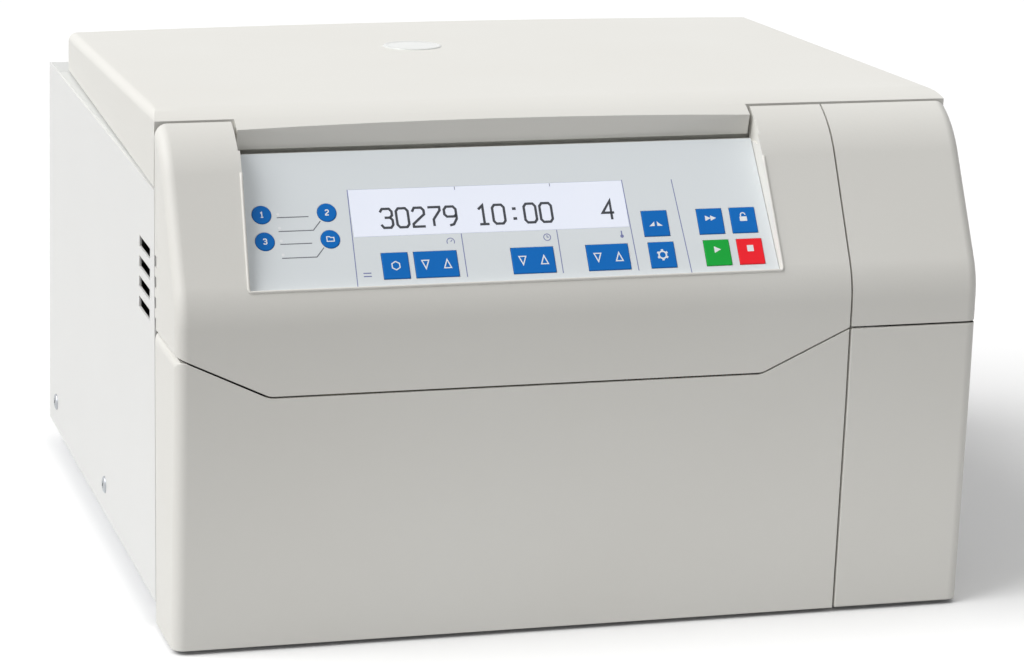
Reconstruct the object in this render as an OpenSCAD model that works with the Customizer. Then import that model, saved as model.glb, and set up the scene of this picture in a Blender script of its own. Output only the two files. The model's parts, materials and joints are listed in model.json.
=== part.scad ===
// Refrigerated bench centrifuge with a swing-out microplate rotor.
// Modelled in its own frame: +Z up, front towards -Y, origin at the middle of the footprint
// on the bench. Inside the modules X runs from the left side and Y from the front face.

/* [Overall size] */
// Width across the side panels
body_w = 540; // [530:1:560]
// Depth from the front face to the rear panel
body_d = 488; // [480:1:510]
// Height of the brow, the highest line of the lid
body_h = 337; // [330:1:345]
// Width of the centrifuge half, left of the cooling unit
main_w = 450; // [440:1:455]
// Height of the deck under the lid
deck_h = 289; // [285:1:292]

/* [Housing] */
// Wall of the moulded covers
wall = 3; // [2:0.5:4]
// Thickness of the steel sheet
sheet = 1.5; // [1:0.1:2]
// Joint line between neighbouring covers
seam_gap = 1.4; // [1:0.1:2]
// Joint line between the lid and the covers
lid_gap = 2.4; // [1.4:0.1:4]
// Space between the front covers and the bench
bench_gap = 3; // [2:0.5:6]
// Radius of the brow between front slope and lid top
brow_r = 66; // [60:1:72]
// Depth of the brow behind the front face
brow_y = 106; // [102:1:112]
// Radius between the upright front and its slope
chin_r = 50; // [40:1:60]
// Lean of the front slope from upright, in degrees
front_lean = 31.4; // [30:0.2:33]
// Fall of the lid towards the rear, in degrees
lid_fall = 3.2; // [2.6:0.1:3.6]
// How far the front covers recede at the bench
toe_in = 3; // [0:0.5:5]
// Depth of the cover sides at the bench
side_foot = 60; // [55:1:66]
// Depth of the cover sides at the lid
side_head = 77.8; // [74:0.2:86]
// Height of the front joint line at its ends
seam_h = 199; // [190:1:205]
// Height of the front joint line in the middle
seam_low_h = 170.5; // [160:0.5:180]
// Width of each sloping end of the front joint line
seam_run = 60.5; // [50:0.5:70]
// Height of the rubber feet
foot_h = 16.5; // [15:0.5:18]
// Radius of the rubber feet
foot_r = 17; // [14:1:20]

/* [Vents and screws] */
// Slots in each vent column
vent_count = 4; // [3:1:5]
// Height of a vent slot
vent_slot = 7.5; // [6:0.5:9]
// Step between vent slots
vent_step = 13.6; // [12:0.2:15]
// Length of a vent slot in the side panel
vent_len = 37; // [30:1:45]
// Length of a vent slot in the cover side
cover_vent_len = 12; // [8:1:13]
// Head radius of the panel screws
screw_head_r = 6; // [5:0.5:7]

/* [Control panel] */
// Lean of the control panel from upright, in degrees
panel_lean = 37.6; // [37:0.1:38]
// Length of the control panel up the slope
panel_len = 97; // [94:0.5:98]
// Distance of its foot behind the front face
panel_foot_y = 9; // [8:0.5:10]
// Thickness of the control panel
panel_t = 3; // [2.5:0.1:3.5]
// Inset of its corners from the sides at the foot
panel_side_low = 47.6; // [46:0.2:50]
// Inset of its corners from the sides at the head
panel_side_top = 51.2; // [50:0.2:53]
// Width of a square key
key_w = 17.3; // [16:0.1:17.8]
// Height of a square key
key_h = 18; // [17:0.1:18.5]
// Width of a rocker key
rocker_w = 28.4; // [26:0.1:30]
// Radius of a round key
round_key_r = 6.2; // [5.5:0.1:7]
// Gap around each key
key_gap = 0.3; // [0.25:0.05:0.5]
// How far a key stands proud of the panel
key_proud = 0.4; // [0.3:0.05:0.8]
// Width of the display
display_w = 184.1; // [176:0.1:188]
// Height of the display
display_h = 33.2; // [31:0.2:34]

/* [Chamber] */
// Inner radius of the chamber bowl
bowl_r = 162; // [160:1:164]
// Height of the bowl floor above the bench
bowl_floor_h = 152; // [146:1:154]
// Wall of the bowl
bowl_wall = 1.5; // [1.2:0.1:2]
// Distance of the rotor axis behind the front face
axis_y = 268; // [266:1:270]
// Thickness of the foam jacket
foam = 14; // [10:1:16]
// Radius of the evaporator tube
coil_r = 4; // [3:0.5:4.5]
// Turns of the evaporator tube
coil_turns = 7; // [5:1:8]
// Step between the turns of the evaporator tube
coil_step = 15; // [13:0.5:16]
// Height of the lid seal
seal_h = 5; // [4:0.5:6]

/* [Rotor and carriers] */
// Height of the carrier pivots
pivot_h = 230; // [228:1:234]
// Distance of the carrier pivots from the rotor axis
pivot_r = 72; // [71:1:74]
// Depth from a carrier pivot to the carrier floor
carrier_drop = 50; // [46:1:51]
// Half width of a carrier
carrier_half_w = 46; // [45:0.5:47]
// Half length inside a carrier
carrier_half_len = 66.9; // [65.5:0.1:67.5]
// Wall of a carrier
carrier_wall = 3.5; // [3:0.5:4]
// Radius of the trunnion pins
trunnion_r = 5; // [4:0.5:6]
// Running clearance around pins and shafts
run_gap = 0.06; // [0.03:0.01:0.08]
// Width of each side beam of the rotor
beam_t = 12; // [10:1:13]
// Radius of the drive spindle
spindle_r = 9; // [8:0.5:10]

/* [Lid] */
// Inset of the lid sides from the side panels at the front
lid_inset = 0.5; // [0:0.5:8]
// How much further in the lid sides stand at the rear
lid_taper = 7.5; // [0:0.5:12]
// Rounding of the long top edges of the lid
lid_edge_r = 6; // [5:0.5:15]
// Wall of the lid shell
lid_wall = 3.5; // [3:0.5:4.5]
// Distance of the lid's rear face behind the front face
lid_back = 452; // [448:1:453]
// How far the hinge axis lies behind the lid
hinge_back = 10; // [9:0.5:11]
// Depth of the hinge axis below the deck
hinge_drop = 3; // [2.5:0.25:3.5]
// Radius of the hinge pins
hinge_pin_r = 3; // [2.5:0.5:3.5]
// Radius of the viewing port
port_r = 19; // [15:1:21]

/* [Hidden] */

$fn = 48;
tiny = 0.01;
far = 400;

cover_colour = [0.88, 0.88, 0.86];
sheet_colour = [0.93, 0.93, 0.92];
steel_colour = [0.72, 0.73, 0.74];
dark_colour = [0.13, 0.13, 0.14];
blue_colour = [0.05, 0.33, 0.66];

// centres of the two arcs that shape the front and the brow, as [depth, height]
brow_c = [brow_y - brow_r * sin(lid_fall), body_h - brow_r * cos(lid_fall)];
chin_c = [chin_r, brow_c[1]
    + ((brow_r - chin_r) + cos(front_lean) * (chin_r - brow_c[0])) / sin(front_lean)];
upright_h = 150;
arc_steps = 12;

// height of the lid's top face at a depth
function top_z(y) = body_h - (y - brow_y) * tan(lid_fall);
// angle on the brow arc at a depth, seen from its centre
function brow_angle(y, inset) = acos((y - brow_c[0]) / (brow_r - inset));
// height of the outer surface at a depth within the brow
function brow_z(y, inset = 0) = brow_c[1] + (brow_r - inset) * sin(brow_angle(y, inset));
// slanting rear edge of the cover sides
function side_edge(z) = side_foot
    + (side_head - side_foot) * (z - bench_gap) / (brow_z(side_head) - bench_gap);
// outline of the front, from the bench up to a depth on the brow
function front_outline(inset, bottom, last_y) = concat(
    [[toe_in * (1 - bottom / upright_h) + inset, bottom], [inset, upright_h]],
    [for (i = [0 : arc_steps]) let (t = front_lean * i / arc_steps)
        [chin_c[0] - (chin_r - inset) * cos(t), chin_c[1] + (chin_r - inset) * sin(t)]],
    [for (i = [0 : arc_steps]) let (
            from = 180 - front_lean,
            to = brow_angle(last_y, inset),
            t = from + (to - from) * i / arc_steps)
        [brow_c[0] + (brow_r - inset) * cos(t), brow_c[1] + (brow_r - inset) * sin(t)]]);

// joint line across the front of the main half, from left to right
seam_round = 12;
seam_slope = atan((seam_h - seam_low_h) / seam_run);
seam_tan = seam_round * tan(seam_slope / 2);
function seam_line(shift) = concat(
    [[-far, seam_h + shift], [0, seam_h + shift]],
    [for (i = [0 : 4]) let (t = seam_slope * (1 - i / 4))
        [seam_run + seam_tan - seam_round * sin(t),
         seam_low_h + shift + seam_round * (1 - cos(t))]],
    [for (i = [0 : 4]) let (t = seam_slope * i / 4)
        [main_w - seam_run - seam_tan + seam_round * sin(t),
         seam_low_h + shift + seam_round * (1 - cos(t))]],
    [[main_w, seam_h + shift], [main_w + far, seam_h + shift]]);

// control panel frame: x to the right, y up the slope, z out of the face
panel_foot_z = chin_c[1] + 20.3;
module on_panel() {
    translate([0, panel_foot_y, panel_foot_z]) rotate([90 - panel_lean, 0, 0]) children();
}
panel_top = [panel_foot_y + panel_len * sin(panel_lean), panel_foot_z + panel_len * cos(panel_lean)];
ledge_w = 5;
tray_floor = wall;

// key and display places on the panel, from the left side of the body and the panel foot
display_x = 120.6;
display_y = 36.2;
round_keys = [[62.5, 54], [105, 54], [62.5, 35.5], [105, 35.5]];
low_row = 15.4;
high_row = 37.8;
square_keys = [[145.2, low_row], [322.6, high_row], [323.8, low_row],
    [360.4, high_row], [383.2, high_row], [361.6, low_row], [384.4, low_row]];
rocker_keys = [[172, low_row], [236.5, low_row], [287, low_row]];
key_under = 0.2;
key_travel = 0.5;
switch_gap = 0.2;
key_round = 0.8;
board_t = 1.6;
board_depth = 7;

// lid
lid_bottom = deck_h + 1.5;
liner_z = deck_h + seal_h + 0.3;
liner_t = 3;
lid_front = side_head + lid_gap;
tab_front = 69.7;
tab_bow = 3.5;
tab_back_bottom = 73.4;
tab_bottom = panel_top[1] + 1.5;
hinge_y = lid_back + hinge_back;
hinge_z = deck_h - hinge_drop;
hinge_x = [110, 430];
knuckle_r = 7;
ear_half = 21;
ear_t = 6;
bracket_reach = 24.3;
port_x = 235;
port_y = 333;
window_depth = top_z(port_y) - liner_z - 1;
cooling_x = main_w + seam_gap / 2;

// rotor
axis_x = main_w / 2;
seal_r = bowl_r + 5;
seal_w = 8;
beam_in = carrier_half_len + carrier_wall + 2.6;
beam_out = beam_in + beam_t;
cross_half = 22;
beam_half_h = 12;
hub_r = 26;
hub_low = pivot_h - 30;
hub_high = pivot_h + 14;
seat_r = 11;
seat_gap = 0.15;
stud_r = 6;
stud_up = 12;
nut_r = 17;
nut_h = 18;
carrier_floor_t = 3;
carrier_lip = 14;
lip_t = 1.5;
ear_up = 9;

// drive
motor_r = 58;
motor_low = 28;
motor_high = 128;
motor_ear_z = 48;
mount_ring = 76;
mount_r = 13;
base_top = foot_h + sheet + 0.5;

// lid locks
lock_x = [45, main_w - 45];
lock_y = 106;
window_z = deck_h - 20;
striker_t = 4;
striker_half = 9;
hook_pivot = [6, -22];
hook_open = 25;
hook_pin_r = 2.5;

// cooling unit
rear_in = body_d - sheet;
compressor_y = 122;
compressor_r = 50;
fan_z = 122;
fan_half = 54;
fan_r = 50;
fan_depth = 25;
fan_rear_gap = 15.5;
fan_y = rear_in - fan_rear_gap - fan_depth;
unit_side_gap = 7.15;
unit_x = body_w - sheet - unit_side_gap - fan_half;
condenser_deep = 30;
condenser_fan_gap = 12;
condenser_y = fan_y - condenser_fan_gap - condenser_deep;

// rear fittings
inlet_x = 70;
inlet_z = 62;
switch_x = 130;

foot_spots = [[45, 70], [body_w - 45, 70], [45, body_d - 50], [body_w - 45, body_d - 50]];
screw_spots = [[252, 37], [457, 37]];
vent_low = 199.5;
vent_y = 89;
cover_vent_y = 67;

// extrudes an outline of depth and height along the width
module along_x(x0, x1) {
    translate([x0, 0, 0]) rotate([90, 0, 90]) linear_extrude(x1 - x0) children();
}
// extrudes an outline of width and height along the depth
module along_y(y0, y1) {
    translate([0, y1, 0]) rotate([90, 0, 0]) linear_extrude(y1 - y0) children();
}
module box(low, high) {
    translate(low) cube(high - low);
}
module rod_x(x0, x1, r) {
    translate([x0, 0, 0]) rotate([0, 90, 0]) cylinder(h = x1 - x0, r = r);
}
module rod_y(y0, y1, r) {
    translate([0, y0, 0]) rotate([-90, 0, 0]) cylinder(h = y1 - y0, r = r);
}

// solid front block between two widths, closed by the slanting rear edge
module cover_block(x0, x1) {
    along_x(x0, x1) polygon(concat(front_outline(0, bench_gap, side_head),
        [[side_edge(bench_gap), bench_gap]]));
}
// hollow of a front cover: open to the rear below the deck, walled off above it
module cover_hollow(x0, x1) {
    low = deck_h - wall;
    along_x(x0, x1) polygon(concat(front_outline(wall, bench_gap, side_head - wall),
        [[side_edge(low) - wall, low], [side_head + far, low], [side_head + far, -far],
         [toe_in + wall, -far]]));
}
// everything below the upper cover of the main half, and everything above its skirt
module below_seam() {
    along_y(-far, far) polygon(concat(seam_line(seam_gap / 2), [[far * 3, -far], [-far, -far]]));
}
module above_seam() {
    along_y(-far, far) polygon(concat(seam_line(-seam_gap / 2), [[far * 3, far * 2], [-far, far * 2]]));
}
module cover_vents(x0, x1) {
    for (i = [0 : vent_count - 1])
        box([x0, cover_vent_y, vent_low + i * vent_step],
            [x1, cover_vent_y + cover_vent_len, vent_low + i * vent_step + vent_slot]);
}
// tapering plan of the control panel, grown by a margin
module panel_plan(grow) {
    polygon([[panel_side_low - grow, -grow], [main_w - panel_side_low + grow, -grow],
        [main_w - panel_side_top + grow, panel_len + grow],
        [panel_side_top - grow, panel_len + grow]]);
}
// pocket for the lid's lip behind the control panel
module lip_pocket(grow) {
    box([panel_side_top - seam_gap - grow, panel_top[0] - 12, panel_top[1] - 1.8 - grow],
        [main_w - panel_side_top + seam_gap + grow, side_head + far, body_h + far]);
}

module front_cover() {
    right = main_w - seam_gap / 2;
    color(cover_colour) difference() {
        union() {
            difference() {
                cover_block(0, right);
                cover_hollow(wall, right - wall);
            }
            intersection() {
                cover_block(0, right);
                union() {
                    on_panel() translate([0, 0, -panel_t - tray_floor])
                        linear_extrude(far) panel_plan(wall);
                    difference() {
                        lip_pocket(wall);
                        along_x(0, body_w) polygon([[-far, -far], [panel_top[0] - 8, -far],
                            [panel_top[0] - 8, panel_top[1] + far], [-far, panel_top[1] + far]]);
                    }
                }
            }
        }
        on_panel() translate([0, 0, -panel_t]) linear_extrude(far) panel_plan(0);
        on_panel() translate([0, 0, -far / 2]) linear_extrude(far) translate([0, ledge_w / 2])
            polygon([[panel_side_low + ledge_w, 0], [main_w - panel_side_low - ledge_w, 0],
                [main_w - panel_side_top - ledge_w, panel_len - 2.6 * ledge_w],
                [panel_side_top + ledge_w, panel_len - 2.6 * ledge_w]]);
        lip_pocket(0);
        below_seam();
        cover_vents(-1, wall + 1);
    }
}
module front_skirt() {
    right = main_w - seam_gap / 2;
    color(cover_colour) difference() {
        cover_block(0, right);
        cover_hollow(wall, right - wall);
        above_seam();
    }
}
module cooling_cover() {
    color(cover_colour) difference() {
        cover_block(cooling_x, body_w);
        cover_hollow(cooling_x + wall, body_w - wall);
        box([0, -far, -far], [body_w + far, far, seam_h + seam_gap / 2]);
        cover_vents(body_w - wall - 1, body_w + 1);
    }
}
module cooling_skirt() {
    color(cover_colour) difference() {
        cover_block(cooling_x, body_w);
        cover_hollow(cooling_x + wall, body_w - wall);
        box([0, -far, seam_h - seam_gap / 2], [body_w + far, far, far * 2]);
    }
}

module side_sheet() {
    flange = 14;
    front_low = side_edge(foot_h) + seam_gap;
    front_high = side_edge(deck_h) + seam_gap;
    difference() {
        union() {
            along_x(0, sheet) polygon([[front_low, foot_h], [front_high, deck_h],
                [body_d, deck_h], [body_d, foot_h]]);
            box([0, front_high + 4, deck_h - wall - sheet - 0.2],
                [flange, rear_in - 20, deck_h - wall - 0.2]);
        }
        for (i = [0 : vent_count - 1])
            box([-1, vent_y, vent_low + i * vent_step],
                [sheet + 1, vent_y + vent_len, vent_low + i * vent_step + vent_slot]);
        for (s = screw_spots) translate([0, s[0], s[1]]) rod_x(-1, sheet + 1, 2.6);
    }
}
module left_side_panel() {
    color(sheet_colour) side_sheet();
}
module right_side_panel() {
    color(sheet_colour) translate([body_w, 0, 0]) mirror([1, 0, 0]) side_sheet();
}
module panel_screws() {
    color(steel_colour) for (side = [0, 1])
        translate([side * body_w, 0, 0]) mirror([side, 0, 0])
            for (s = screw_spots) translate([0, s[0], s[1]]) difference() {
                union() {
                    rod_x(-1.6, 0, screw_head_r);
                    rod_x(-tiny, 9, 2.5);
                }
                translate([-1, 0, 0]) rod_x(-1, 0.2, 2);
            }
}
module base_plate() {
    lip = 22;
    margin = sheet + 0.2;
    front = toe_in + wall + 0.4;
    notch = side_edge(base_top) + 1;
    color(steel_colour) difference() {
        union() {
            box([margin, front, foot_h], [body_w - margin, rear_in - 0.2, base_top]);
            for (x = [margin, body_w - margin - sheet])
                box([x, side_foot + 8, foot_h], [x + sheet, rear_in - 0.2, foot_h + lip + 8]);
        }
        for (x = [[-1, wall + 0.4], [main_w - seam_gap / 2 - wall - 0.4, cooling_x + wall + 0.4],
                [body_w - wall - 0.4, body_w + 1]])
            box([x[0], 0, 0], [x[1], notch, base_top + 1]);
        for (p = foot_spots) translate([p[0], p[1], 0]) cylinder(h = far, r = 3.1);
        for (side = [0, 1]) translate([side * body_w, 0, 0]) mirror([side, 0, 0])
            for (s = screw_spots) translate([0, s[0], s[1]]) rod_x(-1, 12, 2.6);
    }
}
module rubber_feet() {
    color(dark_colour) for (p = foot_spots) translate([p[0], p[1], 0]) {
        rotate_extrude() polygon([[0, 0], [foot_r - 1, 0], [foot_r, 1], [foot_r - 2, foot_h],
            [3, foot_h], [3, base_top + 2], [0, base_top + 2]]);
    }
}
module rear_panel() {
    margin = sheet + 0.2;
    slot_w = 5;
    color(sheet_colour) difference() {
        box([margin, rear_in, foot_h], [body_w - margin, body_d, deck_h]);
        for (i = [-6 : 6]) let (half = sqrt(fan_r * fan_r - pow(i * 8, 2)))
            box([unit_x - half, rear_in - 1, fan_z + i * 8 - slot_w / 2],
                [unit_x + half, body_d + 1, fan_z + i * 8 + slot_w / 2]);
        for (i = [0 : 11], j = [0, 1])
            box([190 + i * 14, rear_in - 1, 60 + j * 46], [190 + i * 14 + slot_w, body_d + 1, 96 + j * 46]);
        box([inlet_x - 14, rear_in - 1, inlet_z - 10.2], [inlet_x + 14, body_d + 1, inlet_z + 10.2]);
        box([switch_x - 7, rear_in - 1, inlet_z - 11], [switch_x + 7, body_d + 1, inlet_z + 11]);
    }
}
module rear_deck() {
    margin = sheet + 0.2;
    color(cover_colour) difference() {
        box([margin, lid_back + 1.2, deck_h - wall], [body_w - margin, rear_in - 0.2, deck_h]);
        for (x = hinge_x)
            box([x - ear_half - ear_t - 1, lid_back, deck_h - far], [x + ear_half + ear_t + 1, hinge_y + 12, deck_h + 1]);
    }
}
module chamber_deck() {
    margin = sheet + 0.2;
    slot_half = striker_half + 3;
    color(cover_colour) difference() {
        box([margin, side_edge(deck_h) + 0.3, deck_h - wall], [body_w - margin, lid_back + 0.6, deck_h]);
        translate([axis_x, axis_y, 0]) cylinder(h = far, r = bowl_r + 1, $fn = 96);
        for (x = lock_x) box([x - striker_t / 2 - 2, lock_y - slot_half - 2, deck_h - far],
            [x + striker_t / 2 + 2, lock_y + slot_half, deck_h + 1]);
        for (x = hinge_x)
            box([x - ear_half - ear_t - 1, lid_back - 6, deck_h - far], [x + ear_half + ear_t + 1, lid_back + 1, deck_h + 1]);
    }
}

module chamber_bowl() {
    flange_z = deck_h - wall - 0.1;
    bend = 14;
    outer = bowl_r + bowl_wall;
    color(steel_colour) translate([axis_x, axis_y, 0]) rotate_extrude($fn = 96) difference() {
        union() {
            translate([0, bowl_floor_h + bend - bowl_wall])
                square([outer, flange_z - bowl_floor_h - bend + bowl_wall]);
            translate([0, bowl_floor_h - bowl_wall]) square([outer - bend, bend + 1]);
            translate([outer - bend, bowl_floor_h - bowl_wall + bend]) circle(r = bend);
            translate([bowl_r, flange_z - bowl_wall]) square([10, bowl_wall]);
        }
        translate([-far, -far]) square([far, far * 3]);
        translate([0, bowl_floor_h + bend]) square([bowl_r, far]);
        translate([0, bowl_floor_h]) square([bowl_r - bend, far]);
        translate([bowl_r - bend, bowl_floor_h + bend]) circle(r = bend);
        square([spindle_r + 9, far]);
    }
}
module foam_jacket() {
    inner = coil_line_r + coil_r + 0.3;
    low = bowl_floor_h - bowl_wall;
    color([0.85, 0.80, 0.62]) translate([axis_x, axis_y, 0]) rotate_extrude($fn = 96)
        polygon([[spindle_r + 22, low - foam], [inner + foam, low - foam],
            [inner + foam, deck_h - wall - bowl_wall - 0.6], [inner, deck_h - wall - bowl_wall - 0.6],
            [inner, low], [spindle_r + 22, low]]);
}

// centreline and skin of the evaporator tube, wound round the bowl
coil_sides = 6;
coil_rings = 24;
coil_low = bowl_floor_h + 16;
coil_line_r = (bowl_r + bowl_wall + coil_r + 0.3) / cos(180 / coil_rings);
function coil_point(i, j) = let (
        turn = 360 * i / coil_rings,
        round = 360 * j / coil_sides,
        r = coil_line_r + coil_r * cos(round))
    [r * cos(turn), r * sin(turn), coil_low + coil_step * i / coil_rings + coil_r * sin(round)];
// least gap from one turn to the next, measured between points on the centreline
function coil_centre(i) = let (turn = 360 * i / coil_rings)
    [coil_line_r * cos(turn), coil_line_r * sin(turn), coil_low + coil_step * i / coil_rings];
coil_gap = min([for (i = [0 : coil_rings], j = [-3 : 3]) norm(coil_centre(i + coil_rings + j) - coil_centre(i))])
    - 2 * coil_r;
echo(least_gap_between_coil_turns_mm = coil_gap);
module evaporator_coil() {
    rings = coil_turns * coil_rings;
    points = [for (i = [0 : rings], j = [0 : coil_sides - 1]) coil_point(i, j)];
    walls = [for (i = [0 : rings - 1], j = [0 : coil_sides - 1]) let (
            k = (j + 1) % coil_sides, a = i * coil_sides, b = a + coil_sides)
        each [[a + j, b + j, b + k], [a + j, b + k, a + k]]];
    ends = [[for (j = [0 : coil_sides - 1]) j],
        [for (j = [coil_sides - 1 : -1 : 0]) rings * coil_sides + j]];
    color([0.78, 0.47, 0.30]) translate([axis_x, axis_y, 0])
        polyhedron(points, concat(walls, ends), convexity = 8);
}
module chamber_seal() {
    color(dark_colour) translate([axis_x, axis_y, deck_h]) rotate_extrude($fn = 96)
        polygon([[seal_r, 0], [seal_r + seal_w, 0], [seal_r + seal_w - 2, seal_h], [seal_r + 2, seal_h]]);
}

module drive_motor() {
    color(steel_colour) translate([axis_x, axis_y, 0]) difference() {
        union() {
            translate([0, 0, motor_low]) cylinder(h = motor_high - motor_low, r = motor_r);
            translate([0, 0, motor_high - tiny])
                cylinder(h = bowl_floor_h - bowl_wall - foam - 8 - motor_high, r = spindle_r + 16);
            for (a = [90, 210, 330]) rotate([0, 0, a])
                box([motor_r - 6, -mount_r - 2, motor_ear_z],
                    [mount_ring + mount_r, mount_r + 2, motor_ear_z + 6]);
            for (a = [0 : 30 : 330]) rotate([0, 0, a])
                box([motor_r - 2, -1, motor_ear_z + 14], [motor_r + 3, 1, motor_high - 8]);
        }
        translate([0, 0, motor_low + 20]) cylinder(h = far, r = spindle_r + run_gap);
    }
}
module motor_mounts() {
    color(dark_colour) translate([axis_x, axis_y, 0]) for (a = [90, 210, 330]) rotate([0, 0, a])
        translate([mount_ring, 0, base_top]) rotate_extrude()
            polygon([[0, 0], [mount_r, 0], [mount_r, 8], [mount_r - 3, 14],
                [mount_r, 20], [mount_r, motor_ear_z - base_top], [0, motor_ear_z - base_top]]);
}
module drive_spindle() {
    color(steel_colour) translate([axis_x, axis_y, 0]) rotate_extrude()
        polygon([[0, motor_low + 22], [spindle_r, motor_low + 22], [spindle_r, hub_low - 22],
            [spindle_r + 6, hub_low - 14], [spindle_r + 6, hub_low], [seat_r, hub_low],
            [seat_r, hub_high - 8], [stud_r, hub_high - 5], [stud_r, hub_high + stud_up],
            [0, hub_high + stud_up]]);
}
module rotor_yoke() {
    color(steel_colour) translate([axis_x, axis_y, 0]) difference() {
        union() {
            translate([0, 0, hub_low]) cylinder(h = hub_high - hub_low, r = hub_r);
            box([-cross_half, -beam_out, pivot_h - beam_half_h], [cross_half, beam_out, pivot_h + beam_half_h]);
            for (side = [-1, 1]) translate([0, side * (beam_in + beam_t / 2), pivot_h])
                rotate([90, 0, 0]) linear_extrude(beam_t, center = true) polygon([
                    [-pivot_r - 22, -beam_half_h + 4], [-cross_half - 10, -beam_half_h],
                    [cross_half + 10, -beam_half_h], [pivot_r + 22, -beam_half_h + 4],
                    [pivot_r + 22, beam_half_h - 4], [cross_half + 10, beam_half_h],
                    [-cross_half - 10, beam_half_h], [-pivot_r - 22, beam_half_h - 4]]);
        }
        cylinder(h = far, r = seat_r + seat_gap);
        for (x = [-pivot_r, pivot_r]) translate([x, 0, pivot_h])
            rod_y(-beam_out - 1, beam_out + 1, trunnion_r + 0.02);
    }
}
module trunnion_pins() {
    color(steel_colour) translate([axis_x, axis_y, pivot_h])
        for (x = [-pivot_r, pivot_r], side = [0, 1]) translate([x, 0, 0]) mirror([0, side, 0])
            rod_y(carrier_half_len + 0.2, beam_out - 1, trunnion_r);
}
module rotor_nut() {
    grips = 8;
    color([0.30, 0.31, 0.33]) translate([axis_x, axis_y, hub_high + 0.1]) difference() {
        cylinder(h = nut_h, r = nut_r);
        for (i = [0 : grips - 1]) rotate([0, 0, 360 / grips * i])
            translate([nut_r + 2, 0, 4]) cylinder(h = far, r = 4);
        translate([0, 0, -1]) cylinder(h = stud_up + 2, r = stud_r + seat_gap);
    }
}
module plate_carrier(side) {
    half = carrier_half_len + carrier_wall;
    color([0.62, 0.64, 0.67]) translate([axis_x + side * pivot_r, axis_y, pivot_h]) difference() {
        union() {
            box([-carrier_half_w, -half, -carrier_drop],
                [carrier_half_w, half, -carrier_drop + carrier_floor_t]);
            for (x = [-carrier_half_w, carrier_half_w - lip_t])
                box([x, -half, -carrier_drop], [x + lip_t, half, -carrier_drop + carrier_lip]);
            for (end = [0, 1]) mirror([0, end, 0]) along_y(carrier_half_len, half)
                polygon([[-carrier_half_w, -carrier_drop], [carrier_half_w, -carrier_drop],
                    [carrier_half_w, -carrier_drop + carrier_lip], [14, ear_up], [-14, ear_up],
                    [-carrier_half_w, -carrier_drop + carrier_lip]]);
        }
        rod_y(-half - 1, half + 1, trunnion_r + run_gap);
        for (x = [-1, 1], y = [-1, 1]) translate([x * 20, y * 30, -far])
            cylinder(h = far, r = 8);
    }
}

module lid_profile(inset, front) {
    along_x(-far, far * 3) polygon(concat([[front + inset, -far]],
        [for (i = [0 : arc_steps]) let (
                from = brow_angle(front + inset, inset),
                to = 90 - lid_fall,
                t = from + (to - from) * i / arc_steps)
            [brow_c[0] + (brow_r - inset) * cos(t), brow_c[1] + (brow_r - inset) * sin(t)]],
        [[lid_back - inset, top_z(lid_back) - inset], [lid_back - inset, -far]]));
}
// everything to the right of the lid's left side, under its top, with the long edge rounded
module lid_flank(inset) {
    r = lid_edge_r - inset;
    angle = atan(lid_taper / (lid_back - lid_front));
    translate([0, brow_y, body_h]) rotate([-lid_fall, 0, 0]) translate([lid_inset, lid_front - brow_y, 0])
        rotate([0, 0, -angle]) along_y(-far, far * 2) polygon(concat([[inset, -far]],
            [for (i = [0 : 6]) let (t = 180 - 15 * i) [inset + r + r * cos(t), -inset - r + r * sin(t)]],
            [[far * 3, -inset], [far * 3, -far]]));
}
// section of the lid between its two sides, narrowing towards the rear
module lid_section(inset) {
    intersection() {
        lid_flank(inset);
        translate([body_w, 0, 0]) mirror([1, 0, 0]) lid_flank(inset);
    }
}
module port_axis() {
    translate([port_x, port_y, top_z(port_y)]) rotate([-lid_fall, 0, 0]) children();
}
// lip of the lid that drops behind the control panel; its front bows back in the middle
module lid_lip() {
    left = panel_side_top - seam_gap + lid_gap;
    middle = main_w / 2;
    reach = lid_front + 8;
    shell = [for (p = front_outline(0, bench_gap, reach)) if (p[0] >= tab_front) p];
    intersection() {
        along_x(left, main_w - left) polygon(concat(
            [[tab_back_bottom, tab_bottom], [tab_front, brow_z(tab_front)]], shell,
            [[reach, tab_bottom]]));
        linear_extrude(far) polygon(concat([[main_w, reach + 1], [0, reach + 1]],
            [for (i = [-4 : 4]) [middle + (middle - left) * i / 4, tab_front + tab_bow * (1 - i * i / 16)]]));
    }
}
module lid_shell() {
    color(cover_colour) difference() {
        union() {
            difference() {
                intersection() {
                    lid_profile(0, lid_front);
                    lid_section(0);
                }
                intersection() {
                    lid_profile(lid_wall, lid_front);
                    lid_section(lid_wall);
                }
            }
            lid_lip();
        }
        box([-far, -far, -far], [far * 3, far * 3, lid_bottom]);
        port_axis() cylinder(h = 60, r = port_r + 0.2, center = true);
    }
}
module lid_liner() {
    fit = lid_wall + 0.4;
    color([0.80, 0.81, 0.81]) difference() {
        intersection() {
            union() {
                box([0, lid_front + fit, liner_z], [body_w, lid_back - fit, liner_z + liner_t]);
                for (x = [fit + 26, axis_x - 60, axis_x + 60, axis_x + 200])
                    box([x, lid_front + 12, liner_z + liner_t - tiny], [x + 2, lid_back - 12, liner_z + 12]);
            }
            lid_section(fit);
        }
        port_axis() cylinder(h = 3 * window_depth, r = port_r + 0.2, center = true);
        for (x = lock_x) box([x - striker_t / 2, lock_y - striker_half, 0],
            [x + striker_t / 2, lock_y + striker_half, far]);
    }
}
module viewing_window() {
    rim = 2;
    proud = 1.2;
    color([0.80, 0.86, 0.88]) port_axis() union() {
        translate([0, 0, tiny]) cylinder(h = proud, r = port_r + rim);
        translate([0, 0, -window_depth]) cylinder(h = window_depth + 2 * tiny, r = port_r);
    }
}
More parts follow.
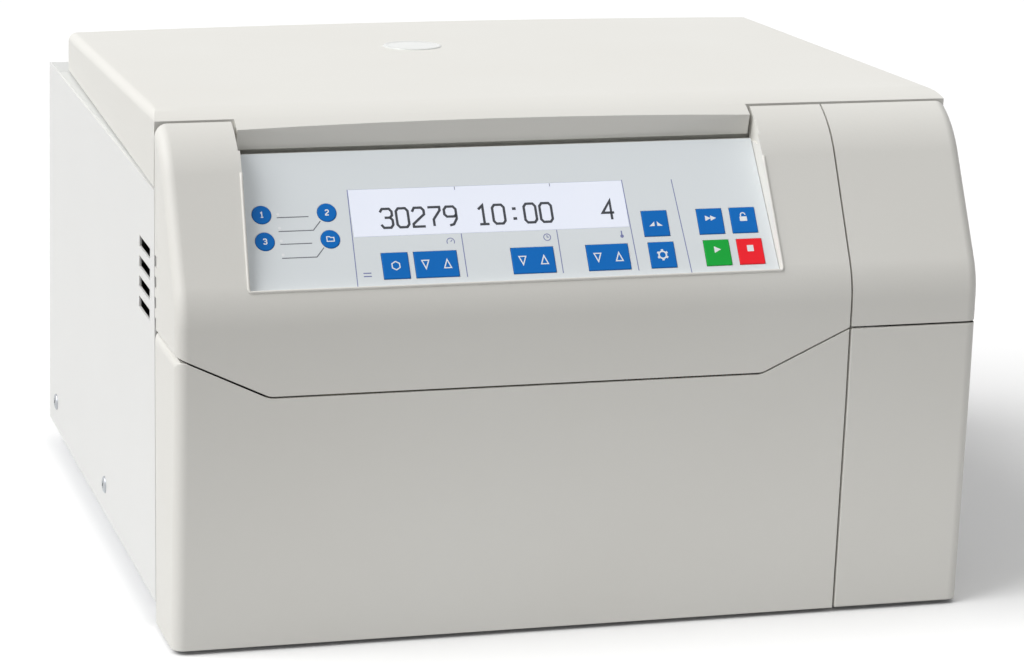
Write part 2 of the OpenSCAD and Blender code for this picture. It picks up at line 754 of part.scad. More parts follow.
module lid_hinge_arms() {
    half = ear_half - 2;
    color(steel_colour) difference() {
        for (x = hinge_x) {
            translate([0, hinge_y, hinge_z]) rod_x(x - half, x + half, knuckle_r);
            along_x(x - half, x + half) polygon([[lid_back, lid_bottom + 1],
                [lid_back, lid_bottom + 20], [lid_back + 4, lid_bottom + 20],
                [lid_back + 5, lid_bottom + 8], [hinge_y + 3, hinge_z + 5],
                [hinge_y - 4, hinge_z - 4]]);
        }
        translate([0, hinge_y, hinge_z]) rod_x(-1, body_w + 1, hinge_pin_r + run_gap);
    }
}
module hinge_brackets() {
    ear_out = ear_half + ear_t;
    back = hinge_y + bracket_reach;
    low = deck_h - 34;
    color(steel_colour) difference() {
        for (x = hinge_x) {
            box([x - ear_out, hinge_y + 14, low], [x + ear_out, back, deck_h - wall - 0.2]);
            for (side = [-1, 1]) translate([x + side * (ear_half + ear_t / 2), 0, 0])
                along_x(-ear_t / 2, ear_t / 2) union() {
                    translate([hinge_y, hinge_z]) circle(r = knuckle_r);
                    polygon([[hinge_y - 7, hinge_z], [hinge_y - 7, low + 6], [back, low + 6],
                        [back, deck_h - wall - 0.2], [hinge_y + 7, deck_h - wall - 0.2]]);
                }
        }
        translate([0, hinge_y, hinge_z]) rod_x(-1, body_w + 1, hinge_pin_r + 0.02);
    }
}
module hinge_pins() {
    color(steel_colour) for (x = hinge_x) translate([0, hinge_y, hinge_z])
        rod_x(x - ear_half - ear_t - 0.5, x + ear_half + ear_t + 0.5, hinge_pin_r);
}

module lid_strikers() {
    low = window_z - 9;
    color(steel_colour) for (x = lock_x) difference() {
        union() {
            box([x - striker_t / 2 + 0.1, lock_y - striker_half + 0.1, low],
                [x + striker_t / 2 - 0.1, lock_y + striker_half - 0.1, liner_z + liner_t + 6]);
            box([x - 9, lock_y - striker_half - 3, liner_z + liner_t + 0.05],
                [x + 9, lock_y + striker_half + 3, liner_z + liner_t + 3]);
        }
        box([x - 9, lock_y - 5.5, window_z - 5], [x + 9, lock_y + 5.5, window_z + 5]);
    }
}
// hook in its locked place, its window centre at the origin, reaching towards -X
module hook_shape() {
    half = 3;
    along_y(-half, half) difference() {
        union() {
            translate(hook_pivot) circle(r = 6);
            polygon([[hook_pivot[0] - 3, hook_pivot[1]], [hook_pivot[0] + 5, hook_pivot[1]],
                [10, 2.5], [-3.5, 2.5], [-3.5, -1.5], [-1, -2.5], [4, -2.5]]);
        }
        translate(hook_pivot) circle(r = hook_pin_r + run_gap);
    }
}
module lock_hook(i) {
    flip = i == 0 ? 0 : 1;
    color([0.55, 0.56, 0.58]) translate([lock_x[i], lock_y, window_z]) mirror([flip, 0, 0])
        translate([hook_pivot[0], 0, hook_pivot[1]]) rotate([0, hook_open, 0])
            translate([-hook_pivot[0], 0, -hook_pivot[1]]) hook_shape();
}
module lock_housings() {
    cheek = 3;
    gap = 3.4;
    low = window_z - 40;
    color([0.40, 0.41, 0.43]) for (i = [0, 1])
        translate([lock_x[i], lock_y, 0]) mirror([i, 0, 0]) {
            for (side = [-1, 1]) difference() {
                box([-12, side > 0 ? gap : -gap - cheek, low], [26, side > 0 ? gap + cheek : -gap, window_z - 12]);
                translate([hook_pivot[0], 0, window_z + hook_pivot[1]]) rod_y(-far, far, hook_pin_r + 0.02);
            }
            box([-12, -gap - cheek, low], [26, gap + cheek, low + 4]);
            for (side = [-1, 1])
                box([14, side > 0 ? gap : -gap - cheek, window_z - 12.1], [26, side > 0 ? gap + cheek : -gap, deck_h - wall]);
            translate([hook_pivot[0], 0, window_z + hook_pivot[1]])
                rod_y(-gap - cheek, gap + cheek, hook_pin_r);
            translate([20, 0, low - 24]) box([-10, -12, 0], [10, 12, 24 + tiny]);
        }
}

module control_panel() {
    fit = 0.4;
    color([0.82, 0.84, 0.84]) on_panel() translate([0, 0, -panel_t]) linear_extrude(panel_t) difference() {
        panel_plan(-fit);
        translate([display_x, display_y]) square([display_w, display_h]);
        for (p = round_keys) translate(p) circle(r = round_key_r + key_gap);
        for (p = square_keys) translate(p) key_plan(key_w, key_gap);
        for (p = rocker_keys) translate(p) key_plan(rocker_w, key_gap);
    }
}
module key_plan(w, grow) {
    square([w + 2 * grow, key_h + 2 * grow], center = true);
}
module display_window() {
    fit = 0.15;
    color([0.90, 0.93, 1.0]) on_panel()
        box([display_x + fit, display_y + fit, -panel_t - 1.5],
            [display_x + display_w - fit, display_y + display_h - fit, 0.05]);
}
module control_board() {
    top = -board_depth;
    dome_top = -panel_t - key_under - key_travel - switch_gap;
    post_r = 2.5;
    color([0.05, 0.35, 0.22]) on_panel() union() {
        box([58, 4, top - board_t], [394, 74, top]);
        for (x = [116, 306], y = [30, 70.4]) translate([x, y, top - tiny])
            cylinder(h = -panel_t - 0.05 - top, r = post_r);
        for (p = concat(round_keys, square_keys)) translate([p[0], p[1], top - tiny])
            cylinder(h = dome_top - top, r = 3);
        for (p = rocker_keys, side = [-1, 1]) translate([p[0] + side * 7, p[1], top - tiny])
            cylinder(h = dome_top - top, r = 3);
        box([display_x + 4, display_y + 3, top - tiny],
            [display_x + display_w - 4, display_y + display_h - 3, -panel_t - 1.6]);
        box([150, 8, top - board_t - 9], [230, 40, top - board_t + tiny]);
    }
}
module square_key(i) {
    on_panel() translate([square_keys[i][0], square_keys[i][1], -panel_t - key_under])
        linear_extrude(panel_t + key_under + key_proud) key_plan(key_w, 0);
}
module rocker_key(i) {
    on_panel() translate([rocker_keys[i][0], rocker_keys[i][1], -panel_t - key_under])
        linear_extrude(panel_t + key_under + key_proud) key_plan(rocker_w, 0);
}
module round_key(i) {
    on_panel() translate([round_keys[i][0], round_keys[i][1], -panel_t - key_under])
        cylinder(h = panel_t + key_under + key_proud, r = round_key_r);
}

module compressor() {
    can_h = 150;
    color(dark_colour) translate([unit_x, compressor_y, base_top]) {
        translate([0, 0, 10]) rotate_extrude() polygon(concat([[0, 0], [compressor_r - 12, 0], [compressor_r, 12]],
            [for (i = [0 : 6]) let (t = 15 * i)
                [compressor_r - 22 + 22 * cos(t), can_h - 22 + 22 * sin(t)]], [[0, can_h]]));
        box([-compressor_r, -34, 2], [compressor_r, 34, 10 + tiny]);
        for (x = [-1, 1], y = [-1, 1]) translate([x * (compressor_r - 9), y * 26, 0]) cylinder(h = 2 + tiny, r = 8);
        translate([0, 0, can_h + 8]) cylinder(h = 16, r = 5);
        translate([24, -20, can_h]) cylinder(h = 22, r = 4);
    }
}
module condenser() {
    fins = 18;
    fin_step = 6;
    fin_half_t = 0.5;
    fin_low = base_top + 15;
    fin_high = fin_low + 172;
    tube_r = 3.5;
    tube_step = 24;
    end_gap = 3;
    end_t = 2;
    left = unit_x - fins * fin_step / 2;
    right = left + fins * fin_step;
    color([0.70, 0.71, 0.72]) union() {
        for (i = [0 : fins]) translate([left + i * fin_step, condenser_y, 0])
            box([-fin_half_t, 0, fin_low], [fin_half_t, condenser_deep, fin_high]);
        for (z = [fin_low + tube_step / 2 : tube_step : fin_high], y = [condenser_deep / 4, condenser_deep * 3 / 4])
            translate([0, condenser_y + y, z]) rod_x(left - end_gap - 1, right + end_gap + 1, tube_r);
        for (x = [left - end_gap - end_t, right + end_gap])
            box([x, condenser_y - 1, base_top], [x + end_t, condenser_y + condenser_deep + 1, fin_high + 2]);
    }
}
module fan_frame() {
    color(dark_colour) translate([unit_x, fan_y, fan_z]) union() {
        difference() {
            box([-fan_half, 0, -fan_half], [fan_half, fan_depth, fan_half]);
            rod_y(-1, fan_depth + 1, fan_r + 1.5);
        }
        rod_y(fan_depth - 5, fan_depth, 17);
        rod_y(3, fan_depth - 4, 3);
        for (a = [45 : 90 : 315]) rotate([0, a, 0]) box([10, fan_depth - 3, -2.5], [fan_r + 4, fan_depth, 2.5]);
        for (x = [-fan_half + 6, fan_half - 10]) box([x, 2, base_top - fan_z], [x + 4, fan_depth - 4, -fan_half + tiny]);
    }
}
module fan_blades() {
    blades = 7;
    color([0.22, 0.22, 0.24]) translate([unit_x, fan_y, fan_z]) difference() {
        union() {
            rod_y(1, fan_depth - 6, 16);
            for (i = [0 : blades - 1]) rotate([0, 360 / blades * i, 0])
                translate([14, (fan_depth - 5) / 2, 0]) rotate([40, 0, 0]) box([0, -9, -0.8], [fan_r - 16, 9, 0.8]);
        }
        rod_y(-1, fan_depth, 3 + run_gap);
    }
}
module power_inlet() {
    color(dark_colour) translate([inlet_x, 0, inlet_z]) difference() {
        union() {
            box([-13.8, rear_in - 24, -10], [13.8, rear_in - 0.02, 10]);
            box([-20, rear_in - 3, -14], [20, rear_in - 0.02, 14]);
        }
        box([-12, rear_in - 18, -8.2], [12, rear_in + 1, 8.2]);
    }
    color(steel_colour) for (p = [[-7, -2.5], [7, -2.5], [0, 1.5]])
        translate([inlet_x + p[0], 0, inlet_z + p[1]]) box([-1, rear_in - 18.5, -2], [1, rear_in - 2, 2]);
}
switch_pin_r = 1.5;
switch_tilt = 8;
module mains_switch_frame() {
    color(dark_colour) translate([switch_x, 0, inlet_z]) difference() {
        union() {
            box([-6.8, rear_in - 20, -10.8], [6.8, body_d - 0.2, 10.8]);
            box([-10, rear_in - 3, -14], [10, rear_in - 0.02, 14]);
        }
        box([-5, rear_in - 14, -9.2], [5, body_d + 1, 9.2]);
    }
    color(steel_colour) translate([switch_x, rear_in - 6, inlet_z]) rod_x(-5.5, 5.5, switch_pin_r);
}
module mains_switch() {
    color([0.10, 0.10, 0.11]) translate([switch_x, rear_in - 6, inlet_z]) rotate([switch_tilt, 0, 0])
    difference() {
        along_x(-4.6, 4.6) polygon([[-4, -4], [-4, 4], [6.2, 8.2], [4.6, 0], [6.2, -8.2]]);
        rod_x(-far, far, switch_pin_r + run_gap);
    }
}

// draws one node in the frame whose origin is under the middle of the body
module place() {
    translate([-body_w / 2, -body_d / 2, 0]) children();
}
place() base_plate();
place() left_side_panel();
place() right_side_panel();
place() rear_panel();
place() rear_deck();
place() chamber_deck();
place() front_cover();
place() front_skirt();
place() cooling_cover();
place() cooling_skirt();
place() control_panel();
place() display_window();
place() control_board();
place() chamber_bowl();
place() evaporator_coil();
place() foam_jacket();
place() chamber_seal();
place() drive_motor();
place() motor_mounts();
place() compressor();
place() condenser();
place() fan_frame();
place() rubber_feet();
place() power_inlet();
place() panel_screws();
place() hinge_brackets();
place() hinge_pins();
place() lock_housings();
place() mains_switch_frame();
place() lid_shell();
place() lid_liner();
place() viewing_window();
place() lid_hinge_arms();
place() lid_strikers();
place() lock_hook(0);  // lock_hook_left
place() lock_hook(1);  // lock_hook_right
place() fan_blades();
place() drive_spindle();
place() rotor_yoke();
place() trunnion_pins();
place() rotor_nut();
place() plate_carrier(-1);  // plate_carrier_left
place() plate_carrier(1);  // plate_carrier_right
place() mains_switch();
place() color(blue_colour) round_key(0);  // key_program_1
place() color(blue_colour) round_key(1);  // key_program_2
place() color(blue_colour) round_key(2);  // key_program_3
place() color(blue_colour) round_key(3);  // key_program_save
place() color(blue_colour) square_key(0);  // key_rpm_rcf
place() color(blue_colour) rocker_key(0);  // key_speed
place() color(blue_colour) rocker_key(1);  // key_time
place() color(blue_colour) rocker_key(2);  // key_temperature
place() color(blue_colour) square_key(1);  // key_soft_start
place() color(blue_colour) square_key(2);  // key_settings
place() color(blue_colour) square_key(3);  // key_pulse
place() color(blue_colour) square_key(4);  // key_open
place() color([0.10, 0.60, 0.25]) square_key(5);  // key_start
place() color([0.90, 0.12, 0.16]) square_key(6);  // key_stop
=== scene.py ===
# %% [markdown]
# A refrigerated bench centrifuge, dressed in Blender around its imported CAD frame.
# The CAD model says where everything is and what moves. This script says how it looks:
# the moulded covers with their soft edges, the printed keypad, the steel bowl and rotor inside.
# It starts by loading the frame, because every place below is worked out from it.

# %% Load the frame
import json
import math
import bmesh
import bpy
from mathutils import Matrix, Vector
from mathutils.bvhtree import BVHTree


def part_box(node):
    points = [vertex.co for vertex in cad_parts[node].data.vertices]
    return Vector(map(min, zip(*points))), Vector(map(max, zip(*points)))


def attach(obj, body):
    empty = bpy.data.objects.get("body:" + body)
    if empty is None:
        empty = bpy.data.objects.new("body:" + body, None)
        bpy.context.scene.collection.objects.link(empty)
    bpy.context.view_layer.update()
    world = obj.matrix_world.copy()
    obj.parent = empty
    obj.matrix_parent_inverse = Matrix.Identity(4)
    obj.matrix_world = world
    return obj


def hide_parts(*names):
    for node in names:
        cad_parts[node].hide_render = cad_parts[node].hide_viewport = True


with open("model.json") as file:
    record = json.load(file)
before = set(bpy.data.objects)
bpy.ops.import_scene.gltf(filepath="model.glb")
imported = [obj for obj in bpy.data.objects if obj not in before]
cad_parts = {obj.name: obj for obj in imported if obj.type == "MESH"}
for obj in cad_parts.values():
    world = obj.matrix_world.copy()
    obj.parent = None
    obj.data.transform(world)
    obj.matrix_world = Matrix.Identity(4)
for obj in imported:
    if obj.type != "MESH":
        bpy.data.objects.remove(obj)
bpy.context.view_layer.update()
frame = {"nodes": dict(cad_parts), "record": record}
record = frame["record"]
body_of_node = {n: b for b, nodes in record["behaviour"]["bodies"].items() for n in nodes}
MM = 0.001

# %% [markdown]
# The camera stands where the photographer stood: in front, a little to the left and above.
# The long lens keeps the box's edges almost parallel. The photographer's slight tilt of the
# camera is kept too, so the camera's axes are written out instead of using a tracking constraint.

# %% The camera
PHOTO_WIDTH_PX = 1024
FOCAL_LENGTH_PX = 3820
SENSOR_MM = 36
CAMERA_PLACE = Vector((-0.717, -2.505, 0.859))
CAMERA_TARGET = Vector((0.0047, -0.0523, 0.1488))
CAMERA_ROLL = math.radians(1.857)

lens = bpy.data.cameras.new("photo_camera")
lens.sensor_width = SENSOR_MM
lens.lens = FOCAL_LENGTH_PX / PHOTO_WIDTH_PX * SENSOR_MM
camera = bpy.data.objects.new("photo_camera", lens)
bpy.context.scene.collection.objects.link(camera)
ahead = (CAMERA_TARGET - CAMERA_PLACE).normalized()
level_right = ahead.cross(Vector((0, 0, 1))).normalized()
level_up = level_right.cross(ahead)
camera_right = level_right * math.cos(CAMERA_ROLL) + level_up * math.sin(CAMERA_ROLL)
camera_up = level_up * math.cos(CAMERA_ROLL) - level_right * math.sin(CAMERA_ROLL)
camera.matrix_world = Matrix.Translation(CAMERA_PLACE) @ Matrix(
    (camera_right, camera_up, -ahead)).transposed().to_4x4()
bpy.context.scene.camera = camera
bpy.context.scene.view_settings.view_transform = "Standard"
print("lens", round(lens.lens, 1), "mm")

# %% [markdown]
# Colours are written the way a paint shop or a web page gives them, as sRGB hex values.
# Shaders work in linear light, so one function converts them. Another adds a shader node with
# its settings, values and links, which keeps every material below short enough to read.

# %% Helpers for materials
def linear(hex_colour):
    """sRGB hex such as e5e4df as a linear colour with alpha."""
    channels = [int(hex_colour[i:i + 2], 16) / 255 for i in (0, 2, 4)]
    return [c / 12.92 if c <= 0.04045 else ((c + 0.055) / 1.055) ** 2.4 for c in channels] + [1]


def add(tree, kind, links=None, values=None, **settings):
    """Add one node, set its properties and socket values, and join its inputs."""
    made = tree.nodes.new(kind)
    for name, value in settings.items():
        setattr(made, name, value)
    for name, value in (values or {}).items():
        made.inputs[name].default_value = value
    for name, source in (links or {}).items():
        tree.links.new(source, made.inputs[name])
    return made


def per_mm(size):
    """Noise scale whose features are about this many millimetres across."""
    return 1 / (size * MM)


MIX_A, MIX_B, MIX_OUT = 6, 7, 2
MIX_NUMBER_A, MIX_NUMBER_B = 2, 3


def mixed(tree, share, hex_a, hex_b):
    """A colour between two hexes, by a share from 0 to 1."""
    return add(tree, "ShaderNodeMix", {0: share}, {MIX_A: linear(hex_a), MIX_B: linear(hex_b)},
               data_type="RGBA").outputs[MIX_OUT]


def new_material(name):
    """An empty material with its node tree and its shader."""
    material = bpy.data.materials.new(name)
    material.use_nodes = True
    return material, material.node_tree, material.node_tree.nodes["Principled BSDF"]


def finish_shader(tree, shader, hex_a, hex_b, share, noise, gloss_low, gloss_high):
    """Colour by one noise, roughness by another."""
    gloss = add(tree, "ShaderNodeMapRange", {"Value": noise}, {"To Min": gloss_low, "To Max": gloss_high})
    tree.links.new(mixed(tree, share, hex_a, hex_b), shader.inputs["Base Color"])
    tree.links.new(gloss.outputs["Result"], shader.inputs["Roughness"])


def grained(name, hex_a, hex_b, patch_mm, grain_mm, bump_mm, rough, **surface):
    """A surface whose colour drifts between two hexes in patches, with an even fine grain."""
    material, tree, shader = new_material(name)
    place = add(tree, "ShaderNodeTexCoord").outputs["Object"]
    patches = add(tree, "ShaderNodeTexNoise", {"Vector": place},
                  {"Scale": per_mm(patch_mm), "Detail": 3.0})
    grain = add(tree, "ShaderNodeTexNoise", {"Vector": place},
                {"Scale": per_mm(grain_mm), "Detail": 2.0, "Roughness": 0.6})
    finish_shader(tree, shader, hex_a, hex_b, patches.outputs["Fac"], grain.outputs["Fac"],
                  rough - 0.06, rough + 0.06)
    relief = add(tree, "ShaderNodeBump", {"Height": grain.outputs["Fac"]},
                 {"Strength": 1.0, "Distance": bump_mm * MM})
    tree.links.new(relief.outputs["Normal"], shader.inputs["Normal"])
    for socket, value in surface.items():
        shader.inputs[socket.replace("_", " ")].default_value = value
    return material


# %% [markdown]
# The big covers are moulded in rigid foam and sprayed with a textured two-pack paint. To the
# eye that is a warm light grey, matt to satin, with an even orange-peel grain and no gloss.
# The real grain is finer than the picture can show, so it is drawn about twice as coarse.
# The side and rear sheets are powder coated: nearly the same tone, a little colder.

# %% Paint finishes
cover_paint = grained("textured_paint_on_moulded_foam", "e2e1dc", "dedcd6", 140, 1.5, 0.05, 0.52)
sheet_paint = grained("powder_coated_steel", "e6e6e4", "e1e1df", 160, 1.2, 0.035, 0.48)
deck_paint = grained("powder_coated_deck", "d9dad8", "d3d4d2", 120, 1.2, 0.035, 0.45)
liner_plastic = grained("vacuum_formed_abs", "cfd1d1", "c8caca", 90, 0.9, 0.03, 0.42)

# %% [markdown]
# The keypad is a polycarbonate film printed from behind. Its face has a fine satin texture, and
# the keys are the same film, so blue, green and red share one recipe and differ in ink alone.
# The display is a back-lit liquid crystal behind the same film: it glows a little by itself.

# %% Keypad finishes
film = grained("satin_polycarbonate_film", "e6ebee", "e3e9ec", 60, 0.7, 0.012, 0.38)
blue_film, green_film, red_film = [
    grained(name, hex_a, hex_b, 25, 0.7, 0.012, 0.42, Specular_IOR_Level=0.2)
    for name, hex_a, hex_b in (("blue_printed_film", "0070c8", "006cc0"),
                               ("green_printed_film", "14b03f", "12a93b"),
                               ("red_printed_film", "ff2230", "fa202d"))]
white_ink = grained("white_printing_ink", "f4f6f8", "eef1f4", 8, 0.5, 0.004, 0.45)
line_ink = grained("violet_grey_printing_ink", "7d83b4", "757bab", 8, 0.5, 0.004, 0.45)
grey_ink = grained("dark_grey_printing_ink", "6d7178", "666a71", 8, 0.5, 0.004, 0.45)
digit_ink = grained("dark_liquid_crystal", "3b3f47", "343840", 5, 0.5, 0.003, 0.40)
display_glow = grained("back_lit_display", "e9edf8", "e4e9f6", 30, 0.6, 0.006, 0.22,
                       Emission_Color=linear("eef2ff"), Emission_Strength=0.18)

# %% [markdown]
# Inside, most parts are metal. The bowl is spun stainless steel with rings left by the tool,
# the rotor is blasted and anodised aluminium, and the fittings are zinc plated steel.
# A metal keeps the default index of refraction; its base colour is what it reflects.

# %% Metal finishes
def turned(name, hex_a, hex_b, centre, ring_mm, rough):
    """Metal with fine tool rings around the upright axis through centre."""
    material, tree, shader = new_material(name)
    shader.inputs["Metallic"].default_value = 1.0
    place = add(tree, "ShaderNodeTexCoord").outputs["Object"]
    centred = add(tree, "ShaderNodeMapping", {"Vector": place},
                  {"Location": (-centre.x, -centre.y, 0)})
    flat = add(tree, "ShaderNodeVectorMath", {0: centred.outputs["Vector"]},
               {1: (1, 1, 0)}, operation="MULTIPLY")
    out = add(tree, "ShaderNodeVectorMath", {0: flat.outputs["Vector"]}, operation="LENGTH")
    parts = add(tree, "ShaderNodeSeparateXYZ", {"Vector": centred.outputs["Vector"]})
    along = add(tree, "ShaderNodeCombineXYZ",
                {"X": out.outputs["Value"], "Z": parts.outputs["Z"]})
    rings = add(tree, "ShaderNodeTexNoise", {"Vector": along.outputs["Vector"]},
                {"Scale": per_mm(ring_mm), "Detail": 3.0, "Roughness": 0.7})
    finish_shader(tree, shader, hex_a, hex_b, rings.outputs["Fac"], rings.outputs["Fac"],
                  rough - 0.07, rough + 0.09)
    return material


def centre_of(node):
    low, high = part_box(node)
    return (low + high) / 2


bowl_steel = turned("spun_stainless_steel", "c9cbcd", "b9bbbe", centre_of("chamber_bowl"), 1.4, 0.30)
spindle_steel = turned("ground_steel", "b5b7ba", "a6a8ac", centre_of("drive_spindle"), 0.8, 0.25)
zinc = grained("zinc_plated_steel", "b9bcc0", "a9acb1", 18, 1.0, 0.010, 0.36, Metallic=1.0)
anodised = grained("anodised_aluminium", "8f959c", "878d94", 40, 0.6, 0.012, 0.40, Metallic=1.0)
nut_metal = grained("dark_anodised_aluminium", "4a4e54", "42464c", 20, 0.6, 0.010, 0.36, Metallic=1.0)
cast_metal = grained("cast_aluminium", "a5a7a9", "97999c", 25, 1.6, 0.08, 0.55, Metallic=1.0)
copper = grained("drawn_copper", "b5714c", "a4623f", 30, 1.0, 0.01, 0.35, Metallic=1.0)
brass = grained("brass_contact", "c9a659", "bd9a4e", 10, 0.6, 0.006, 0.30, Metallic=1.0)

# %% [markdown]
# What is left is plastic and rubber: black nylon for the fan, socket and switch, moulded rubber
# for feet and seals, foam round the bowl, enamel on the compressor and the green control board.
# The viewing port is a disc of clear acrylic, frosted on its underside.

# %% Plastic and rubber finishes
nylon = grained("glass_filled_nylon", "1f2022", "191a1c", 30, 0.8, 0.03, 0.48)
rubber = grained("moulded_rubber", "202021", "181819", 25, 0.7, 0.03, 0.72)
foam_skin = grained("polyurethane_foam", "c9bd93", "b8ab80", 12, 2.5, 0.35, 0.85)
enamel = grained("black_stove_enamel", "18191b", "121315", 60, 1.5, 0.04, 0.28, Coat_Weight=0.4)
solder_mask = grained("green_solder_mask", "1c5a3a", "174f32", 15, 1.2, 0.01, 0.35)
port_acrylic = grained("frosted_acrylic", "dcdedb", "d6d8d5", 12, 0.9, 0.006, 0.18, Coat_Weight=0.5)
print(len(bpy.data.materials), "materials")

# %% [markdown]
# A CAD solid has knife-sharp edges, and nothing moulded, folded or machined does: a real edge
# catches a thin line of light. So each visible solid is copied, its loose triangles are merged
# into whole faces, and a Bevel rounds its edges at a real radius. Weighted normals then keep
# the broad faces flat. The copy is applied, so it sits at the origin as the CAD node does.

# %% Helpers for pieces
scene_collection = bpy.context.scene.collection
MERGE_MM, SAME_PLANE = 0.002, math.radians(0.4)


def whole_faces(node):
    """A bmesh copy of a CAD node with its triangles merged into whole faces."""
    shape = bmesh.new()
    shape.from_mesh(frame["nodes"][node].data)
    bmesh.ops.remove_doubles(shape, verts=shape.verts, dist=MERGE_MM * MM)
    bmesh.ops.dissolve_limit(shape, angle_limit=SAME_PLANE, verts=shape.verts, edges=shape.edges)
    return shape


def piece_from(shape, name, *materials):
    """Turn a bmesh into a linked object with these materials."""
    mesh = bpy.data.meshes.new(name)
    shape.to_mesh(mesh)
    shape.free()
    for material in materials:
        mesh.materials.append(material)
    piece = bpy.data.objects.new(name, mesh)
    scene_collection.objects.link(piece)
    return piece


def applied(piece):
    """Replace a piece's mesh by what its modifiers make of it."""
    graph = bpy.context.evaluated_depsgraph_get()
    made = bpy.data.meshes.new_from_object(piece.evaluated_get(graph), depsgraph=graph)
    piece.modifiers.clear()
    piece.data = made
    return piece


def smooth(piece, sharp_turn=None):
    """Shade a piece smoothly, but not across edges that turn more than an angle in degrees."""
    for face in piece.data.polygons:
        face.use_smooth = True
    if sharp_turn:
        piece.data.set_sharp_from_angle(angle=math.radians(sharp_turn))
    return piece


def rounded(piece, radius_mm, segments=3, turn=24):
    """Round the edges that turn more than an angle in degrees; keep broad faces flat."""
    smooth(piece)
    bevel = piece.modifiers.new("edges", "BEVEL")
    bevel.width = radius_mm * MM
    bevel.segments = segments
    bevel.limit_method = "ANGLE"
    bevel.angle_limit = math.radians(turn)
    flat = piece.modifiers.new("flat_faces", "WEIGHTED_NORMAL")
    flat.keep_sharp = True
    return applied(piece)


def arc(centre, radius, start, end, steps):
    """Points on an arc, angles in degrees."""
    turns = [math.radians(start + (end - start) * i / steps) for i in range(steps + 1)]
    return [(centre[0] + radius * math.cos(t), centre[1] + radius * math.sin(t)) for t in turns]


def loft(shape, rings, closed=False, slot=0):
    """Faces between rings of one count, turned outwards, with the ends covered or joined."""
    faces = []
    for below, above in zip(rings, rings[1:] + rings[:closed]):
        for i in range(len(below)):
            j = (i + 1) % len(below)
            faces.append(shape.faces.new((below[i], below[j], above[j], above[i])))
    if not closed:
        faces += [shape.faces.new(rings[0][::-1]), shape.faces.new(rings[-1])]
    for face in faces:
        face.material_index = slot
    bmesh.ops.recalc_face_normals(shape, faces=faces)


def ride_along(piece, node):
    """Make a loose detail move with the body of a CAD node."""
    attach(piece, body_of_node[node])
    return piece


def settle(piece, node):
    """Make a piece stand for a CAD node and move with its body."""
    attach(piece, body_of_node[node])
    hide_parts(node)
    return piece


def placed(x, y, z, turn=0, axis="X"):
    """Matrix that carries millimetres to a place in metres, turned about one axis."""
    return Matrix.Translation((x, y, z)) @ Matrix.Rotation(turn, 4, axis) @ Matrix.Scale(MM, 4)


def paint(node, finish):
    """Give a CAD node that stays in the picture its finish."""
    mesh = frame["nodes"][node].data
    mesh.materials.clear()
    mesh.materials.append(finish)


def soften(node, radius_mm, material, segments=2):
    """A copy of a CAD node with rounded edges and its own finish, standing for the node."""
    piece = piece_from(whole_faces(node), node + "_finished", material)
    return settle(rounded(piece, radius_mm, segments), node)


# %% [markdown]
# Everything on the keypad lies on one sloping plane, so it is drawn flat first: x to the
# right, y up the slope and z out of the face, all in millimetres. One matrix then carries the
# drawing onto the slope. The plane's foot is read from the CAD film's box.

# %% The sloping plane of the keypad
PANEL_LEAN = math.radians(37.6)
FILM_MM = 3.0
FILM_FIT_MM = 0.4
film_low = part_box("control_panel")[0]
slope = Vector((0, math.sin(PANEL_LEAN), math.cos(PANEL_LEAN)))
outward = Vector((0, -math.cos(PANEL_LEAN), math.sin(PANEL_LEAN)))
left_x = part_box("front_cover")[0].x
panel_foot = Vector((left_x, film_low.y - FILM_FIT_MM * MM * slope.y,
                     film_low.z - FILM_FIT_MM * MM * slope.z + FILM_MM * MM * outward.z))
ONTO_PANEL = Matrix.Translation(panel_foot) @ Matrix(
    (Vector((1, 0, 0)), slope, outward)).transposed().to_4x4() @ Matrix.Scale(MM, 4)


def on_panel(node):
    """Middle of a CAD node on the keypad plane, in millimetres."""
    middle = ONTO_PANEL.inverted() @ centre_of(node)
    return middle.x, middle.y


# %% [markdown]
# The four front covers meet at narrow joints. Their outer upright edges have a radius of about
# 8 mm, rounded in a first pass of its own. A second pass breaks every other edge, along joints
# and vents. A slim bead, sunk to its middle, then runs down the sides and along the foot of the
# keypad recess, where the photograph shows a bright line of light.

# %% The front covers
CORNER_RADIUS_MM, CORNER_STEPS, JOINT_RADIUS_MM = 8.0, 6, 1.1
SHARP_TURN, NEAR_SIDE_MM, STEEP, LEVEL, NO_TILT = math.radians(40), 0.01, 0.5, 0.97, 0.02


def is_outer_corner(edge, outer_x):
    """True along the upright side at outer_x, but not at its joints or its rear end."""
    if len(edge.link_faces) != 2 or edge.calc_face_angle(0) < SHARP_TURN:
        return False
    on_side = all(abs(v.co.x - outer_x) < NEAR_SIDE_MM * MM for v in edge.verts)
    ends_here = any(n.y > STEEP or n.z < -STEEP or n.z > LEVEL and abs(n.y) < NO_TILT
                    for n in (face.normal for face in edge.link_faces))
    return on_side and not ends_here


def moulded_cover(node, outer_x):
    """A front cover with a generous radius along the upright side at outer_x."""
    shape = whole_faces(node)
    chosen = [edge for edge in shape.edges if is_outer_corner(edge, outer_x)]
    bmesh.ops.bevel(shape, geom=chosen, offset=CORNER_RADIUS_MM * MM, segments=CORNER_STEPS,
                    profile=0.5, affect="EDGES", clamp_overlap=False)
    piece = piece_from(shape, node + "_moulding", cover_paint)
    return settle(rounded(piece, JOINT_RADIUS_MM), node)


right_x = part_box("cooling_cover")[1].x
for node, outer_x in (("front_cover", left_x), ("front_skirt", left_x),
                      ("cooling_cover", right_x), ("cooling_skirt", right_x)):
    moulded_cover(node, outer_x)

